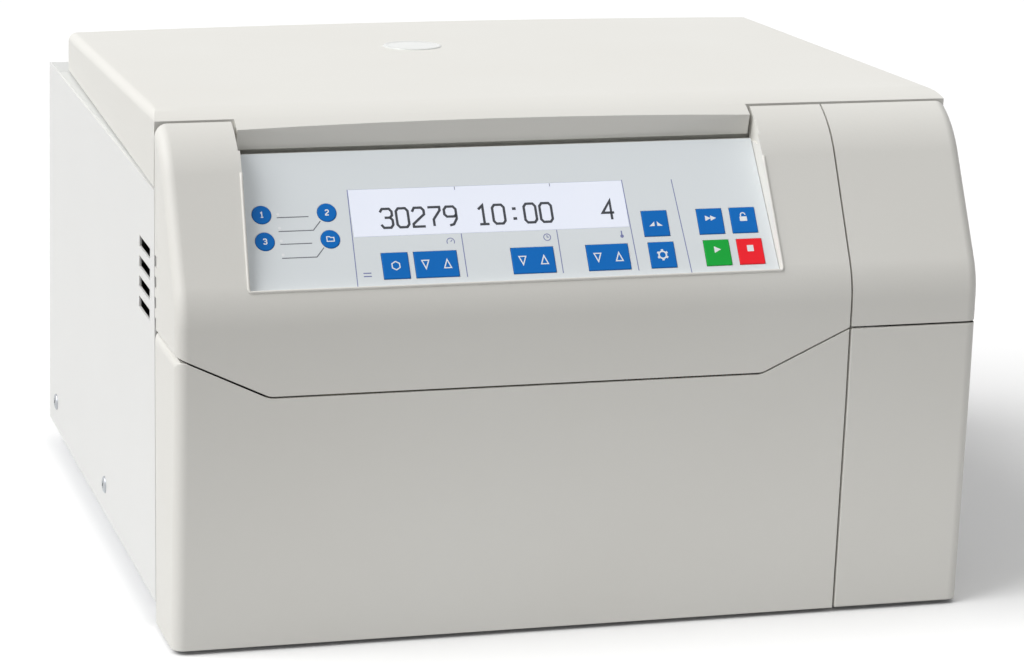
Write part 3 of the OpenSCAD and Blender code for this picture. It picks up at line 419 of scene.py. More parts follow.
RECESS_FOOT_INSET_MM, RECESS_HEAD_INSET_MM, RECESS_LENGTH_MM = 47.6, 51.2, 97
HALF_SEAM_MM = 0.7
BEAD_MM, BEAD_SIDES, BEAD_STEPS = 1.0, 8, 14
BEAD_TOP_MM, BEAD_TURN_MM, BEAD_OUT_MM, BEAD_CORNER_MM = 78, 1.6, 0.5, 0.2
OVER_PANEL_MM = 60
cover_mesh = frame["nodes"]["front_cover"].data
cover_skin = BVHTree.FromPolygons([v.co for v in cover_mesh.vertices],
                                  [p.vertices for p in cover_mesh.polygons])


def on_cover_skin(x_mm, up_mm):
    """The point of the cover's skin straight out from a place on the keypad plane."""
    return cover_skin.ray_cast(ONTO_PANEL @ Vector((x_mm, up_mm, OVER_PANEL_MM)), -outward)[0]


def recess_bead():
    """A round bead, half sunk, down the left of the recess, along its foot and up its right."""
    width = (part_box("front_cover")[1].x - left_x) / MM + HALF_SEAM_MM
    climb = (RECESS_HEAD_INSET_MM - RECESS_FOOT_INSET_MM) / RECESS_LENGTH_MM
    left = []
    for i in range(BEAD_STEPS + 1):
        up = BEAD_TOP_MM - (BEAD_TOP_MM - BEAD_TURN_MM) * i / BEAD_STEPS
        left.append((RECESS_FOOT_INSET_MM + climb * up - BEAD_OUT_MM, up))
    for inward in (BEAD_CORNER_MM, BEAD_TURN_MM):
        left.append((RECESS_FOOT_INSET_MM + inward, -BEAD_OUT_MM))
    right = [(width - x, up) for x, up in reversed(left)]
    path = [on_cover_skin(x, up) for x, up in left + right]
    bead = bmesh.new()
    rings = []
    for i, point in enumerate(path):
        along = (path[min(i + 1, len(path) - 1)] - path[max(i - 1, 0)]).normalized()
        aside = along.cross(outward).normalized()
        lift = aside.cross(along)
        rings.append([bead.verts.new(point + BEAD_MM * MM * (aside * x + lift * y)) for x, y in
                      arc((0, 0), 1, 0, 360 - 360 / BEAD_SIDES, BEAD_SIDES - 1)])
    loft(bead, rings)
    piece = piece_from(bead, "keypad_recess_bead", cover_paint)
    for face in piece.data.polygons:
        face.use_smooth = len(face.vertices) == 4
    return piece


ride_along(recess_bead(), "front_cover")

# %% [markdown]
# The lid is one wide moulding. Its top is not flat: it rises a few millimetres towards the
# middle so that it stays stiff and sheds water. The CAD solid has a straight top, so the copy
# is sliced into strips first, and the strips are then lifted on a smooth curve.

# %% The lid
CROWN_MM = 2.4
STRIP_MM, LID_ROWS = 24, 8
RISE_MM, RIM_SHARE, BACK_POWER = 14, 0.2, 0.6
LID_RADIUS_MM, LID_TURN = 1.4, 26


def crowned_lid():
    """The lid's shell, cut into strips and rows and lifted towards its middle and its rear."""
    shape = whole_faces("lid_shell")
    low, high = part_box("lid_shell")
    half = (high.x - low.x) / 2
    middle = (high.x + low.x) / 2
    strips = int(2 * half / (STRIP_MM * MM))
    cuts = [((low.x + 2 * half * i / strips, 0, 0), (1, 0, 0)) for i in range(1, strips)]
    cuts += [((0, low.y + (high.y - low.y) * i / LID_ROWS, 0), (0, 1, 0))
             for i in range(1, LID_ROWS)]
    for place, facing in cuts:
        bmesh.ops.bisect_plane(shape, geom=shape.verts[:] + shape.edges[:] + shape.faces[:],
                               plane_co=place, plane_no=facing, dist=0.0005 * MM)
    for vert in shape.verts:
        across = 1 - ((vert.co.x - middle) / half) ** 2
        back = min(max((vert.co.y - low.y) / (high.y - low.y), 0), 1) ** BACK_POWER
        up = min(max((vert.co.z - low.z) / (RISE_MM * MM) - RIM_SHARE, 0), 1)
        vert.co.z += CROWN_MM * MM * across * back * up
    piece = piece_from(shape, "lid_moulding", cover_paint)
    return settle(rounded(piece, LID_RADIUS_MM, turn=LID_TURN), "lid_shell")


lid = crowned_lid()
print("lid crown", CROWN_MM, "mm,", len(lid.data.polygons), "faces")

# %% [markdown]
# The remaining shells and fittings keep their CAD shape, with an edge radius that suits how each
# is made: folded sheet about half a millimetre, machined aluminium a little more, rubber most.
# One list holds node, radius and finish, because the step is the same for each.

# %% Shells and fittings
FITTINGS = [
    ("left_side_panel", 0.5, sheet_paint), ("right_side_panel", 0.5, sheet_paint),
    ("rear_panel", 0.4, sheet_paint), ("rear_deck", 0.6, deck_paint),
    ("chamber_deck", 0.6, deck_paint), ("base_plate", 0.4, zinc),
    ("lid_liner", 0.8, liner_plastic), ("lid_hinge_arms", 0.5, zinc),
    ("lid_strikers", 0.4, zinc), ("hinge_brackets", 0.5, zinc), ("hinge_pins", 0.4, zinc),
    ("lock_hook_left", 0.3, zinc), ("lock_hook_right", 0.3, zinc),
    ("lock_housings", 0.5, nylon), ("chamber_bowl", 0.4, bowl_steel),
    ("chamber_seal", 1.2, rubber), ("drive_motor", 0.8, cast_metal),
    ("motor_mounts", 0.8, rubber), ("rotor_yoke", 0.9, anodised),
    ("trunnion_pins", 0.5, spindle_steel), ("plate_carrier_left", 0.6, anodised),
    ("plate_carrier_right", 0.6, anodised), ("drive_spindle", 0.5, spindle_steel),
    ("compressor", 1.5, enamel), ("fan_frame", 0.8, nylon),
    ("mains_switch_frame", 0.5, nylon), ("mains_switch", 0.5, nylon),
    ("power_inlet", 0.5, nylon), ("control_board", 0.2, solder_mask)]
for node, radius, finish in FITTINGS:
    soften(node, radius, finish)
paint("evaporator_coil", copper)
paint("foam_jacket", foam_skin)
print(len(FITTINGS), "fittings rounded")

# %% [markdown]
# Printed lines, figures and icons are thin raised ink, a tenth of a millimetre or less. They
# are real geometry, so they stay sharp at any distance and survive the export. Two shapes do
# for all of it: a filled outline, and a stroke of even width along a path with mitred corners.

# %% Drawing in ink
def plate(shape, outline, low, high, slot=0):
    """A flat slab with this outline."""
    loft(shape, [[shape.verts.new((x, y, z)) for x, y in outline] for z in (low, high)], slot=slot)


LEAST_MITRE = 0.35


def stroke(shape, path, width, low, high, closed=False, slot=0):
    """A strip of even width along a path, with mitred corners."""
    points = [Vector(p) for p in path]
    count = len(points)
    sides = []
    for i, point in enumerate(points):
        way_in = point - points[i - 1] if closed or i > 0 else points[1] - point
        way_out = points[(i + 1) % count] - point if closed or i < count - 1 else way_in
        normal_in = Vector((-way_in.y, way_in.x)).normalized()
        normal_out = Vector((-way_out.y, way_out.x)).normalized()
        mitre = (normal_in + normal_out).normalized()
        reach = width / 2 / max(mitre.dot(normal_in), LEAST_MITRE)
        sides.append((point + mitre * reach, point - mitre * reach))
    rings = [[shape.verts.new((p.x, p.y, z)) for p, z in ((a, low), (b, low), (b, high), (a, high))]
             for a, b in sides]
    loft(shape, rings, closed, slot)


ARC_STEPS = 5


def rounded_box(width, height, radius, centre):
    """Outline of a rectangle with round corners, anticlockwise."""
    x, y = width / 2 - radius, height / 2 - radius
    corners = [(x, y, 0), (-x, y, 90), (-x, -y, 180), (x, -y, 270)]
    return [point for right, up, start in corners
            for point in arc((centre[0] + right, centre[1] + up), radius, start, start + 90, ARC_STEPS)]


def rectangle(x0, y0, x1, y1):
    return [(x0, y0), (x1, y0), (x1, y1), (x0, y1)]


def drawn(shape, name, *materials):
    """Carry a flat drawing onto the keypad's plane and make it a piece."""
    shape.transform(ONTO_PANEL)
    return piece_from(shape, name, *materials)


# %% [markdown]
# The film fills the recess of the front cover. It is a single sheet with a soft cut edge, and
# the keys come up through windows in it. The thin violet-grey lines that divide the display's
# three readings from each other are printed on it, and so are the lines to the program keys.

# %% The film and its printed lines
paint("control_panel", film)
LINE_MM = 0.55
INK_LOW, INK_HIGH = -0.02, 0.06
display_y = on_panel("display_window")[1]
DISPLAY_HALF_MM = 16.45
display_y0 = display_y - DISPLAY_HALF_MM
display_y1 = display_y + DISPLAY_HALF_MM
SPEED_TIME_X, TIME_TEMPERATURE_X = 191.2, 255.1

lines = bmesh.new()
column_foot, column_head = 5.8, display_y0 - 0.3
DIVIDERS = [((118.6, 1.4), (120.3, 69.4)), ((306.1, 5.3), (304.4, 69.7)),
            ((341.7, 2.0), (338.4, 68.8)),
            ((SPEED_TIME_X, column_foot), (SPEED_TIME_X, column_head)),
            ((TIME_TEMPERATURE_X, column_foot), (TIME_TEMPERATURE_X, column_head))]
for path in DIVIDERS:
    stroke(lines, path, LINE_MM, INK_LOW, INK_HIGH)
ride_along(drawn(lines, "panel_dividers", line_ink), "control_panel")

LEAD_X0, LEAD_MM = 72.2, 0.6
LAMP_R_MM, LAMP_IN_MM, LAMP_UP_MM = 1.0, 0.9, 2.3
leads, lamps = bmesh.new(), bmesh.new()
for key, drop, reach, straight in (
        ("key_program_1", 2.2, 20.6, True), ("key_program_3", 2.2, 20.6, True),
        ("key_program_2", 11.8, 22.6, False), ("key_program_save", 11.8, 22.6, False)):
    x, y = on_panel(key)
    path = [(LEAD_X0, y - drop), (LEAD_X0 + reach, y - drop)]
    if not straight:
        path.append((x - 4.9, y - 5.6))
    stroke(leads, path, LEAD_MM, INK_LOW, INK_HIGH)
    lamp = arc((LEAD_X0 + LAMP_IN_MM, y - drop + LAMP_UP_MM), LAMP_R_MM, 0, 330, 11)
    plate(lamps, lamp, INK_LOW, INK_HIGH)
ride_along(drawn(leads, "program_key_leads", grey_ink), "control_panel")
ride_along(drawn(lamps, "program_lamps", white_ink), "control_panel")

# %% [markdown]
# Small signs stand over the three reading columns: a dial for speed, a clock for time and a
# thermometer for temperature. Two short bars stand by the display's foot for its unit lamps.

# %% Signs over the adjusting keys
SIGN_STROKE_MM, STEM_MM, UNIT_STROKE_MM = 0.5, 0.8, 0.7
DIAL_X, CLOCK_X, THERMOMETER_X = 183.5, 248.0, 298.5
UNIT_X, UNIT_Y = 126.0, 10.0
sign_y = display_y0 - 5.2
SIGN_PATHS = [
    (arc((DIAL_X, sign_y - 0.5), 2.5, -30, 210, 14), SIGN_STROKE_MM, False),
    ([(DIAL_X, sign_y - 0.5), (DIAL_X + 1.2, sign_y + 0.8)], SIGN_STROKE_MM, False),
    (arc((CLOCK_X, sign_y), 2.3, 0, 345, 23), SIGN_STROKE_MM, True),
    ([(CLOCK_X, sign_y + 1.5), (CLOCK_X, sign_y), (CLOCK_X + 1.2, sign_y)], SIGN_STROKE_MM, False),
    ([(THERMOMETER_X, sign_y - 0.4), (THERMOMETER_X, sign_y + 2.5)], STEM_MM, False),
    ([(UNIT_X - 2.6, UNIT_Y - 1.1), (UNIT_X + 2.6, UNIT_Y - 1.1)], UNIT_STROKE_MM, False),
    ([(UNIT_X - 2.6, UNIT_Y + 1.1), (UNIT_X + 2.6, UNIT_Y + 1.1)], UNIT_STROKE_MM, False)]
signs = bmesh.new()
plate(signs, arc((THERMOMETER_X, sign_y - 1.3), 1.2, 0, 337.5, 15), INK_LOW, INK_HIGH)
for path, width, closed in SIGN_PATHS:
    stroke(signs, path, width, INK_LOW, INK_HIGH, closed)
ride_along(drawn(signs, "reading_signs", line_ink), "control_panel")

# %% [markdown]
# The display is a glowing white field, flush with the film, framed by a hairline of shadow.
# Its figures are liquid crystal segments: thin dark strokes with cut corners. Each figure is a
# short list of paths on a grid one unit wide and 1.7 units high; the list holds the figures
# that the readings and key icons use.

# %% The display and its figures
soften("display_window", 0.15, display_glow)
UNITS_HIGH, COLON_FACTOR = 1.7, 1.5
FIGURES = {
    "0": [([(0.2, 0), (0.8, 0), (1, 0.25), (1, 1.45), (0.8, 1.7), (0.2, 1.7), (0, 1.45), (0, 0.25)],
           True)],
    "1": [([(0.15, 1.35), (0.55, 1.7), (0.55, 0)], False), ([(0.15, 0), (0.95, 0)], False)],
    "2": [([(0, 1.35), (0.2, 1.7), (0.8, 1.7), (1, 1.45), (1, 1.1), (0, 0.25), (0, 0), (1, 0)], False)],
    "3": [([(0, 1.4), (0.2, 1.7), (0.8, 1.7), (1, 1.45), (1, 1.1), (0.8, 0.9), (0.35, 0.9)], False),
          ([(0.8, 0.9), (1, 0.68), (1, 0.25), (0.8, 0), (0.2, 0), (0, 0.3)], False)],
    "4": [([(0.75, 0), (0.75, 1.7), (0, 0.62), (1, 0.62)], False)],
    "7": [([(0, 1.7), (1, 1.7), (1, 1.4), (0.4, 0.6), (0.4, 0)], False)],
    "9": [([(1, 0.95), (0.8, 0.8), (0.2, 0.8), (0, 1.02), (0, 1.45), (0.2, 1.7), (0.8, 1.7),
            (1, 1.45), (1, 0.6), (0.7, 0.1), (0.35, 0)], False)],
    ":": [([(0.5, 0.28), (0.5, 0.52)], False), ([(0.5, 1.18), (0.5, 1.42)], False)]}


def write_figures(shape, text, left, foot, height, pitch, width, low, high, slot=0):
    """Write figures from left to right, each on its own grid cell."""
    unit = height / UNITS_HIGH
    for i, figure in enumerate(text):
        for path, closed in FIGURES[figure]:
            thick = width * (COLON_FACTOR if figure == ":" else 1)
            points = [(left + i * pitch + px * unit, foot + py * unit) for px, py in path]
            stroke(shape, points, thick, low, high, closed, slot)


FIGURE_MM, FIGURE_PITCH_MM, FIGURE_STROKE_MM = 13.2, 10.6, 1.65
CRYSTAL_LOW, CRYSTAL_HIGH, TICK_HIGH = 0.04, 0.12, 0.1
TICK_STROKE_MM = 0.35
figure_foot = display_y0 + 5.6
reading = bmesh.new()
for figures, left in (("30279", 139.6), ("10:00", 203.6), ("4", 288.0)):
    write_figures(reading, figures, left, figure_foot, FIGURE_MM, FIGURE_PITCH_MM,
                  FIGURE_STROKE_MM, CRYSTAL_LOW, CRYSTAL_HIGH)
for x in (SPEED_TIME_X, TIME_TEMPERATURE_X):
    stroke(reading, [(x, display_y1 - 2.4), (x, display_y1 - 0.2)], TICK_STROKE_MM,
           CRYSTAL_LOW, TICK_HIGH)
ride_along(drawn(reading, "display_figures", digit_ink), "display_window")

# %% [markdown]
# Each key is a small domed plate of printed film with rounded corners, made at the place and
# size of its CAD node, and its icon is white ink in the same mesh. The push keys and the three
# rocking pairs move on their own bodies, so each key is a piece of its own.

# %% Keys
KEY_PROUD_MM = 0.4
KEY_DEEP_MM = 3.2
ICON_LOW, ICON_HIGH = KEY_PROUD_MM - 0.03, KEY_PROUD_MM + 0.05
ICON_STROKE_MM, ICON_UP_MM = 0.75, 2.2


def icon_line(shape, path, width=ICON_STROKE_MM, closed=False):
    stroke(shape, path, width, ICON_LOW, ICON_HIGH, closed, slot=1)


def icon_plate(shape, outline):
    plate(shape, outline, ICON_LOW, ICON_HIGH, slot=1)


def arrow_pair(shape, x, y):
    """Two hollow triangles, down on the left and up on the right."""
    half, tall, apart = 2.3, 2.852, 7.2
    icon_line(shape, [(x - apart, y - tall), (x - apart + half, y + tall),
                      (x - apart - half, y + tall)], closed=True)
    icon_line(shape, [(x + apart - half, y - tall), (x + apart + half, y - tall),
                      (x + apart, y + tall)], closed=True)


def unit_ring(shape, x, y):
    icon_line(shape, arc((x, y), 2.9, 30, 330, 5), closed=True)


def ramps(shape, x, y):
    for side in (-1, 1):
        outline = [(x + side * 4.6, y - 1.9), (x + side * 0.9, y - 1.9), (x + side * 0.9, y + 1.4),
                   (x + side * 2.1, y + 0.1)]
        icon_plate(shape, outline[::side])


def gear(shape, x, y):
    teeth = 6
    centre = Vector((x, y))
    icon_line(shape, arc(centre, 2.5, 0, 345, 23), 1.0, closed=True)
    for i in range(teeth):
        turn = math.radians(360 / teeth * i + 30)
        way = Vector((math.cos(turn), math.sin(turn)))
        icon_line(shape, [centre + way * 2.9, centre + way * 3.9], 1.5)


def solid_arrow(shape, x, y, size):
    back, half = x - size * 0.45, size * 0.5
    icon_plate(shape, [(back, y - half), (x + size * 0.55, y), (back, y + half)])


def pulse(shape, x, y):
    solid_arrow(shape, x - 1.7, y + ICON_UP_MM, 3.8)
    solid_arrow(shape, x + 1.9, y + ICON_UP_MM, 3.8)


def padlock(shape, x, y):
    icon_plate(shape, rounded_box(5.0, 3.2, 0.4, (x, y + 0.9)))
    shackle = [(x - 1.6, y + 2.4), (x - 1.6, y + 3.4)] + arc((x, y + 3.6), 1.6, 180, 0, 8)
    icon_line(shape, shackle, 0.7)


def start_arrow(shape, x, y):
    solid_arrow(shape, x, y + ICON_UP_MM, 4.6)


def stop_square(shape, x, y):
    icon_plate(shape, rounded_box(4.4, 4.4, 0.3, (x, y + ICON_UP_MM)))


def folder(shape, x, y):
    path = [(-2.3, -1.5), (2.3, -1.5), (2.3, 1.1), (0.2, 1.1), (-0.5, 1.7), (-2.3, 1.7)]
    icon_line(shape, [(x + px, y + py) for px, py in path], 0.65, closed=True)


def figure_icon(figure):
    def draw(shape, x, y):
        write_figures(shape, figure, x - 1.0, y - 1.75, 3.5, 1, ICON_STROKE_MM,
                      ICON_LOW, ICON_HIGH, slot=1)
    return draw


KEYS = {
    "key_program_1": figure_icon("1"), "key_program_2": figure_icon("2"),
    "key_program_3": figure_icon("3"), "key_program_save": folder,
    "key_rpm_rcf": unit_ring, "key_speed": arrow_pair, "key_time": arrow_pair,
    "key_temperature": arrow_pair, "key_soft_start": ramps, "key_settings": gear,
    "key_pulse": pulse, "key_open": padlock, "key_start": start_arrow, "key_stop": stop_square}
OTHER_FILMS = {"key_start": green_film, "key_stop": red_film}
KEY_TALL_MM = 18.0
KEY_CORNER_MM, RIM_MM = 0.9, 0.5
EDGE_DROP_MM = 0.18


def make_key(node, icon):
    """A key cap with a softly dropped rim, and its icon in the second material."""
    low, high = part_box(node)
    wide = (high.x - low.x) / MM
    x, y = on_panel(node)
    if node.startswith("key_program"):
        rim = arc((x, y), wide / 2, 0, 352.5, 47)
        inner = arc((x, y), wide / 2 - RIM_MM, 0, 352.5, 47)
    else:
        rim = rounded_box(wide, KEY_TALL_MM, KEY_CORNER_MM, (x, y))
        inner = rounded_box(wide - 2 * RIM_MM, KEY_TALL_MM - 2 * RIM_MM, KEY_CORNER_MM - RIM_MM, (x, y))
    shape = bmesh.new()
    loft(shape, [[shape.verts.new((px, py, z)) for px, py in outline] for outline, z in (
        (rim, -KEY_DEEP_MM), (rim, KEY_PROUD_MM - EDGE_DROP_MM), (inner, KEY_PROUD_MM))])
    icon(shape, x, y)
    settle(drawn(shape, node + "_cap", OTHER_FILMS.get(node, blue_film), white_ink), node)


for node, icon in KEYS.items():
    make_key(node, icon)
print(len(KEYS), "keys")

# %% [markdown]
# Lathe-turned and round pieces are spun from a half outline: the rubber feet with their groove
# and the low cap over the viewing port. Spinning by hand keeps the poles closed and the
# faces outwards, which a quick cylinder with a bevel doesn't give.

# %% Spun pieces
def spun(outline, steps=64):
    """A bmesh spun round the z axis from (radius, height) points, low to high, in millimetres."""
    shape = bmesh.new()
    rings = []
    for radius, height in outline:
        around = arc((0, 0), radius, 0, 360 - 360 / steps, steps - 1) if radius else [(0, 0)]
        rings.append([shape.verts.new((x, y, height)) for x, y in around])
    for below, above in zip(rings, rings[1:]):
        for i in range(steps):
            j = (i + 1) % steps
            corners = [below[i % len(below)], below[j % len(below)],
                       above[j % len(above)], above[i % len(above)]]
            unique = list(dict.fromkeys(corners))
            if len(unique) > 2:
                shape.faces.new(unique)
    bmesh.ops.recalc_face_normals(shape, faces=shape.faces)
    return shape


def joined(shapes):
    """One bmesh from several."""
    whole = bmesh.new()
    for shape in shapes:
        part = bpy.data.meshes.new("part")
        shape.to_mesh(part)
        shape.free()
        whole.from_mesh(part)
        bpy.data.meshes.remove(part)
    return whole


feet_low, feet_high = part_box("rubber_feet")
FOOT_R_MM, FOOT_TALL_MM, FOOT_PEG_MM = 17, 16.5, 20.5
foot_outline = [(0, 0), (14.6, 0), (16.2, 0.5), (FOOT_R_MM, 1.8), (16.7, 5.2), (15.2, 6.2),
                (15.1, 7.6), (16.3, 8.6), (15.4, FOOT_TALL_MM - 0.8), (14.6, FOOT_TALL_MM),
                (3, FOOT_TALL_MM), (3, FOOT_PEG_MM - 0.5), (2.5, FOOT_PEG_MM), (0, FOOT_PEG_MM)]
feet = []
for x in (feet_low.x + FOOT_R_MM * MM, feet_high.x - FOOT_R_MM * MM):
    for y in (feet_low.y + FOOT_R_MM * MM, feet_high.y - FOOT_R_MM * MM):
        foot = spun(foot_outline)
        foot.transform(placed(x, y, 0))
        feet.append(foot)
settle(smooth(piece_from(joined(feet), "feet_with_grooves", rubber), 40), "rubber_feet")

LID_FALL = math.radians(-3.2)
PORT_SPAN_MM, PORT_LIP_MM, PORT_SEAT_MM = 41.5, 1.2, 1.3
port_low, port_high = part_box("viewing_window")
port_r = (port_high.x - port_low.x) / 2 / MM
port_reach = (port_high.z - port_low.z) / MM - PORT_SPAN_MM * math.sin(-LID_FALL) - PORT_LIP_MM
port = spun([(0, -port_reach), (18.9, -port_reach), (18.9, -0.4), (21.0, -0.3), (21.0, 0.7),
             (20.6, 1.15), (19.9, 1.35), (18.6, 1.4), (18.1, 1.05), (17.3, 1.0), (9, 1.25), (0, 1.35)])
port_y = port_low.y + port_r * MM * math.cos(LID_FALL)
port_z = port_high.z - (port_r * math.sin(-LID_FALL) + PORT_LIP_MM * math.cos(LID_FALL)) * MM
port.transform(placed((port_low.x + port_high.x) / 2, port_y, port_z, LID_FALL)
               @ Matrix.Translation((0, 0, PORT_SEAT_MM)))
settle(smooth(piece_from(port, "viewing_port_cap", port_acrylic), 50), "viewing_window")

# %% [markdown]
# Geometry Nodes make what repeats. One tree sets copies of a piece along a straight line, and
# another turns them round an axis. Both have named inputs for count, step and material, and
# both end in Realize Instances and Set Material, because the export drops instances.

# %% Repeating trees
def copies_tree(name, in_ring):
    """Copies of a mesh in a row by steps, or turned about the y axis through the origin."""
    tree = bpy.data.node_groups.new(name, "GeometryNodeTree")
    for label, kind in (("Geometry", "Geometry"), ("Count", "Int"), ("Step", "Vector"),
                        ("Material", "Material")):
        tree.interface.new_socket(label, in_out="INPUT", socket_type="NodeSocket" + kind)
    tree.interface.new_socket("Geometry", in_out="OUTPUT", socket_type="NodeSocketGeometry")
    inputs, output = add(tree, "NodeGroupInput").outputs, add(tree, "NodeGroupOutput")
    line = add(tree, "GeometryNodeMeshLine", {"Count": inputs["Count"], "Offset": inputs["Step"]})
    links = {"Points": line.outputs["Mesh"], "Instance": inputs["Geometry"]}
    if in_ring:
        index = add(tree, "GeometryNodeInputIndex").outputs["Index"]
        share = add(tree, "ShaderNodeMath", {0: index, 1: inputs["Count"]}, operation="DIVIDE")
        turn = add(tree, "ShaderNodeMath", {0: share.outputs["Value"]}, {1: math.tau},
                   operation="MULTIPLY")
        around = add(tree, "ShaderNodeCombineXYZ", {"Y": turn.outputs["Value"]})
        links["Rotation"] = around.outputs["Vector"]
    copies = add(tree, "GeometryNodeInstanceOnPoints", links).outputs["Instances"]
    real = add(tree, "GeometryNodeRealizeInstances", {"Geometry": copies}).outputs["Geometry"]
    painted = add(tree, "GeometryNodeSetMaterial",
                  {"Geometry": real, "Material": inputs["Material"]}).outputs["Geometry"]
    tree.links.new(painted, output.inputs["Geometry"])
    return tree


ROW, RING = copies_tree("row_of_copies", False), copies_tree("ring_of_copies", True)


def repeated(piece, tree, place, **inputs):
    """Run a tree on a piece, keep the plain mesh, and put it in place."""
    modifier = piece.modifiers.new("copies", "NODES")
    modifier.node_group = tree
    for socket in tree.interface.items_tree:
        if socket.in_out == "INPUT" and socket.name in inputs:
            modifier[socket.identifier] = inputs[socket.name]
    applied(piece)
    piece.data.transform(place)
    return piece


# %% [markdown]
# Two screws hold each side panel at its lower edge. Each is a pan head with a cross recess.
# The head is spun, and the cross is a second small mesh let into its face, coloured dark as
# painted shade for the hollow of the recess. The row tree sets the pair on each side.

# %% Panel screws
screws_low, screws_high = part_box("panel_screws")
HEAD_R_MM, HEAD_TALL_MM, SHANK_MM = 6.0, 1.6, 9
CROSS_HALF_MM, CROSS_STROKE_MM, CROSS_TURN = 2.7, 1.0, 35
screw_outline = [(0, -SHANK_MM), (2.5, -SHANK_MM), (2.5, 0), (HEAD_R_MM, 0), (HEAD_R_MM, 0.35),
                 (5.6, 0.9), (4.6, 1.35), (3.0, HEAD_TALL_MM - 0.05), (1.3, HEAD_TALL_MM),
                 (1.0, 0.9), (0, 0.7)]
# Painted shade: this dark colour stands for the shadow inside each cross recess.
cross_recess_painted_shade = grained("shadowed_cross_recess", "3a3c40", "323438", 4, 0.5, 0.005, 0.6)


def screw_pair(side, facing, face_x):
    """The two screws of one side panel, with painted shade in their cross recesses."""
    head = piece_from(spun(screw_outline, 40), "screws_" + side, zinc)
    cross = bmesh.new()
    for turn in (math.radians(CROSS_TURN), math.radians(CROSS_TURN + 90)):
        way = Vector((math.cos(turn), math.sin(turn))) * CROSS_HALF_MM
        stroke(cross, [-way, way], CROSS_STROKE_MM, HEAD_TALL_MM - 0.3, HEAD_TALL_MM + 0.02)
    marks = piece_from(cross, "screw_recess_shade_" + side, cross_recess_painted_shade)
    start = (face_x, screws_low.y + HEAD_R_MM * MM, centre_of("panel_screws").z)
    axes = Matrix(((0, 0, facing), (0, -facing, 0), (1, 0, 0))).to_4x4()
    step = (0, -facing * ((screws_high.y - screws_low.y) / MM - 2 * HEAD_R_MM), 0)
    place = Matrix.Translation(start) @ axes @ Matrix.Scale(MM, 4)
    settle(smooth(repeated(head, ROW, place, Count=2, Step=step, Material=zinc), 42), "panel_screws")
    ride_along(repeated(marks, ROW, place, Count=2, Step=step, Material=cross_recess_painted_shade), "panel_screws")


screw_pair("left", -1, screws_low.x + HEAD_TALL_MM * MM)
screw_pair("right", 1, screws_high.x - HEAD_TALL_MM * MM)

# %% [markdown]
# The condenser is a block of thin aluminium fins on copper tubes. The fins are one sheet, set
# in a row by the tree. The fan has seven twisted blades round a hub, set by the ring tree;
# each blade is a short lofted strip whose pitch eases off towards its tip.

# %% Condenser and fan
cond_low, cond_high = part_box("condenser")
FIN_STEP_MM, FIN_MM, FIN_FOOT_MM, FIN_MARGIN_MM = 3.0, 0.3, 34, 6
END_PLATE_MM, TUBE_R_MM, TUBE_STEP_MM, FIRST_TUBE_MM = 2, 3.5, 24, 48
cond_length = (cond_high.x - cond_low.x) / MM
fin_depth = (cond_high.y - cond_low.y) / MM - 2
fin_top = cond_high.z / MM - 2
fin = bmesh.new()
plate(fin, rectangle(0, 0, FIN_MM, fin_depth), FIN_FOOT_MM, fin_top)
fin_place = placed(cond_low.x + FIN_MARGIN_MM * MM, cond_low.y + MM, 0)
settle(repeated(piece_from(fin, "condenser_fins", cast_metal), ROW, fin_place,
                Count=int((cond_length - 2 * FIN_MARGIN_MM) / FIN_STEP_MM),
                Step=(FIN_STEP_MM, 0, 0), Material=cast_metal), "condenser")
frames = bmesh.new()
for x in (cond_low.x / MM, cond_high.x / MM - END_PLATE_MM):
    plate(frames, rectangle(x, cond_low.y / MM, x + END_PLATE_MM, cond_high.y / MM),
          cond_low.z / MM, cond_high.z / MM)
frames.transform(Matrix.Scale(MM, 4))
ride_along(rounded(piece_from(frames, "condenser_end_plates", zinc), 0.5), "condenser")
tubes = []
for depth in (9, 23):
    for height in range(FIRST_TUBE_MM, int(fin_top) - 6, TUBE_STEP_MM):
        tube = spun([(0, 0), (TUBE_R_MM, 0), (TUBE_R_MM, cond_length), (0, cond_length)], 16)
        tube.transform(placed(cond_low.x, cond_low.y + depth * MM, height * MM, math.pi / 2, "Y"))
        tubes.append(tube)
ride_along(piece_from(joined(tubes), "condenser_tubes", copper), "condenser")

BLADES, HUB_R_MM, TIP_R_MM, HUB_TALL_MM, BORE_R_MM = 7, 16, 47.5, 18, 3.06
SECTIONS, ROOT_PITCH, TIP_PITCH, ROOT_CHORD_MM, BELLY_MM, SWEEP = 9, 44, 28, 15, 5, 0.06
AEROFOIL = [(-0.5, 0), (-0.17, 0.9), (0.17, 0.9), (0.5, 0), (0.5, -0.7), (0.17, 0.1),
            (-0.17, 0.1), (-0.5, -0.7)]
fan_centre = centre_of("fan_blades")
fan_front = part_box("fan_blades")[0].y
blade = bmesh.new()
rows = []
for i in range(SECTIONS):
    along = i / (SECTIONS - 1)
    radius = HUB_R_MM - 2 + (TIP_R_MM - HUB_R_MM + 2) * along
    pitch = math.radians(ROOT_PITCH + (TIP_PITCH - ROOT_PITCH) * along)
    chord = ROOT_CHORD_MM + BELLY_MM * math.sin(math.pi * along)
    row = []
    for share, off in AEROFOIL:
        y = share * chord * math.cos(pitch) - off * math.sin(pitch)
        z = share * chord * math.sin(pitch) + off * math.cos(pitch)
        row.append(blade.verts.new((radius, y, z + SWEEP * (radius - HUB_R_MM))))
    rows.append(row)
loft(blade, rows)
blade_place = placed(fan_centre.x, fan_front + HUB_TALL_MM / 2 * MM, fan_centre.z)
settle(repeated(piece_from(blade, "fan_blade_ring", nylon), RING, blade_place,
                Count=BLADES, Material=nylon), "fan_blades")
hub = spun([(BORE_R_MM, 0), (HUB_R_MM - 1.4, 0), (HUB_R_MM, 1.4), (HUB_R_MM, HUB_TALL_MM),
            (BORE_R_MM, HUB_TALL_MM), (BORE_R_MM, 0)], 48)
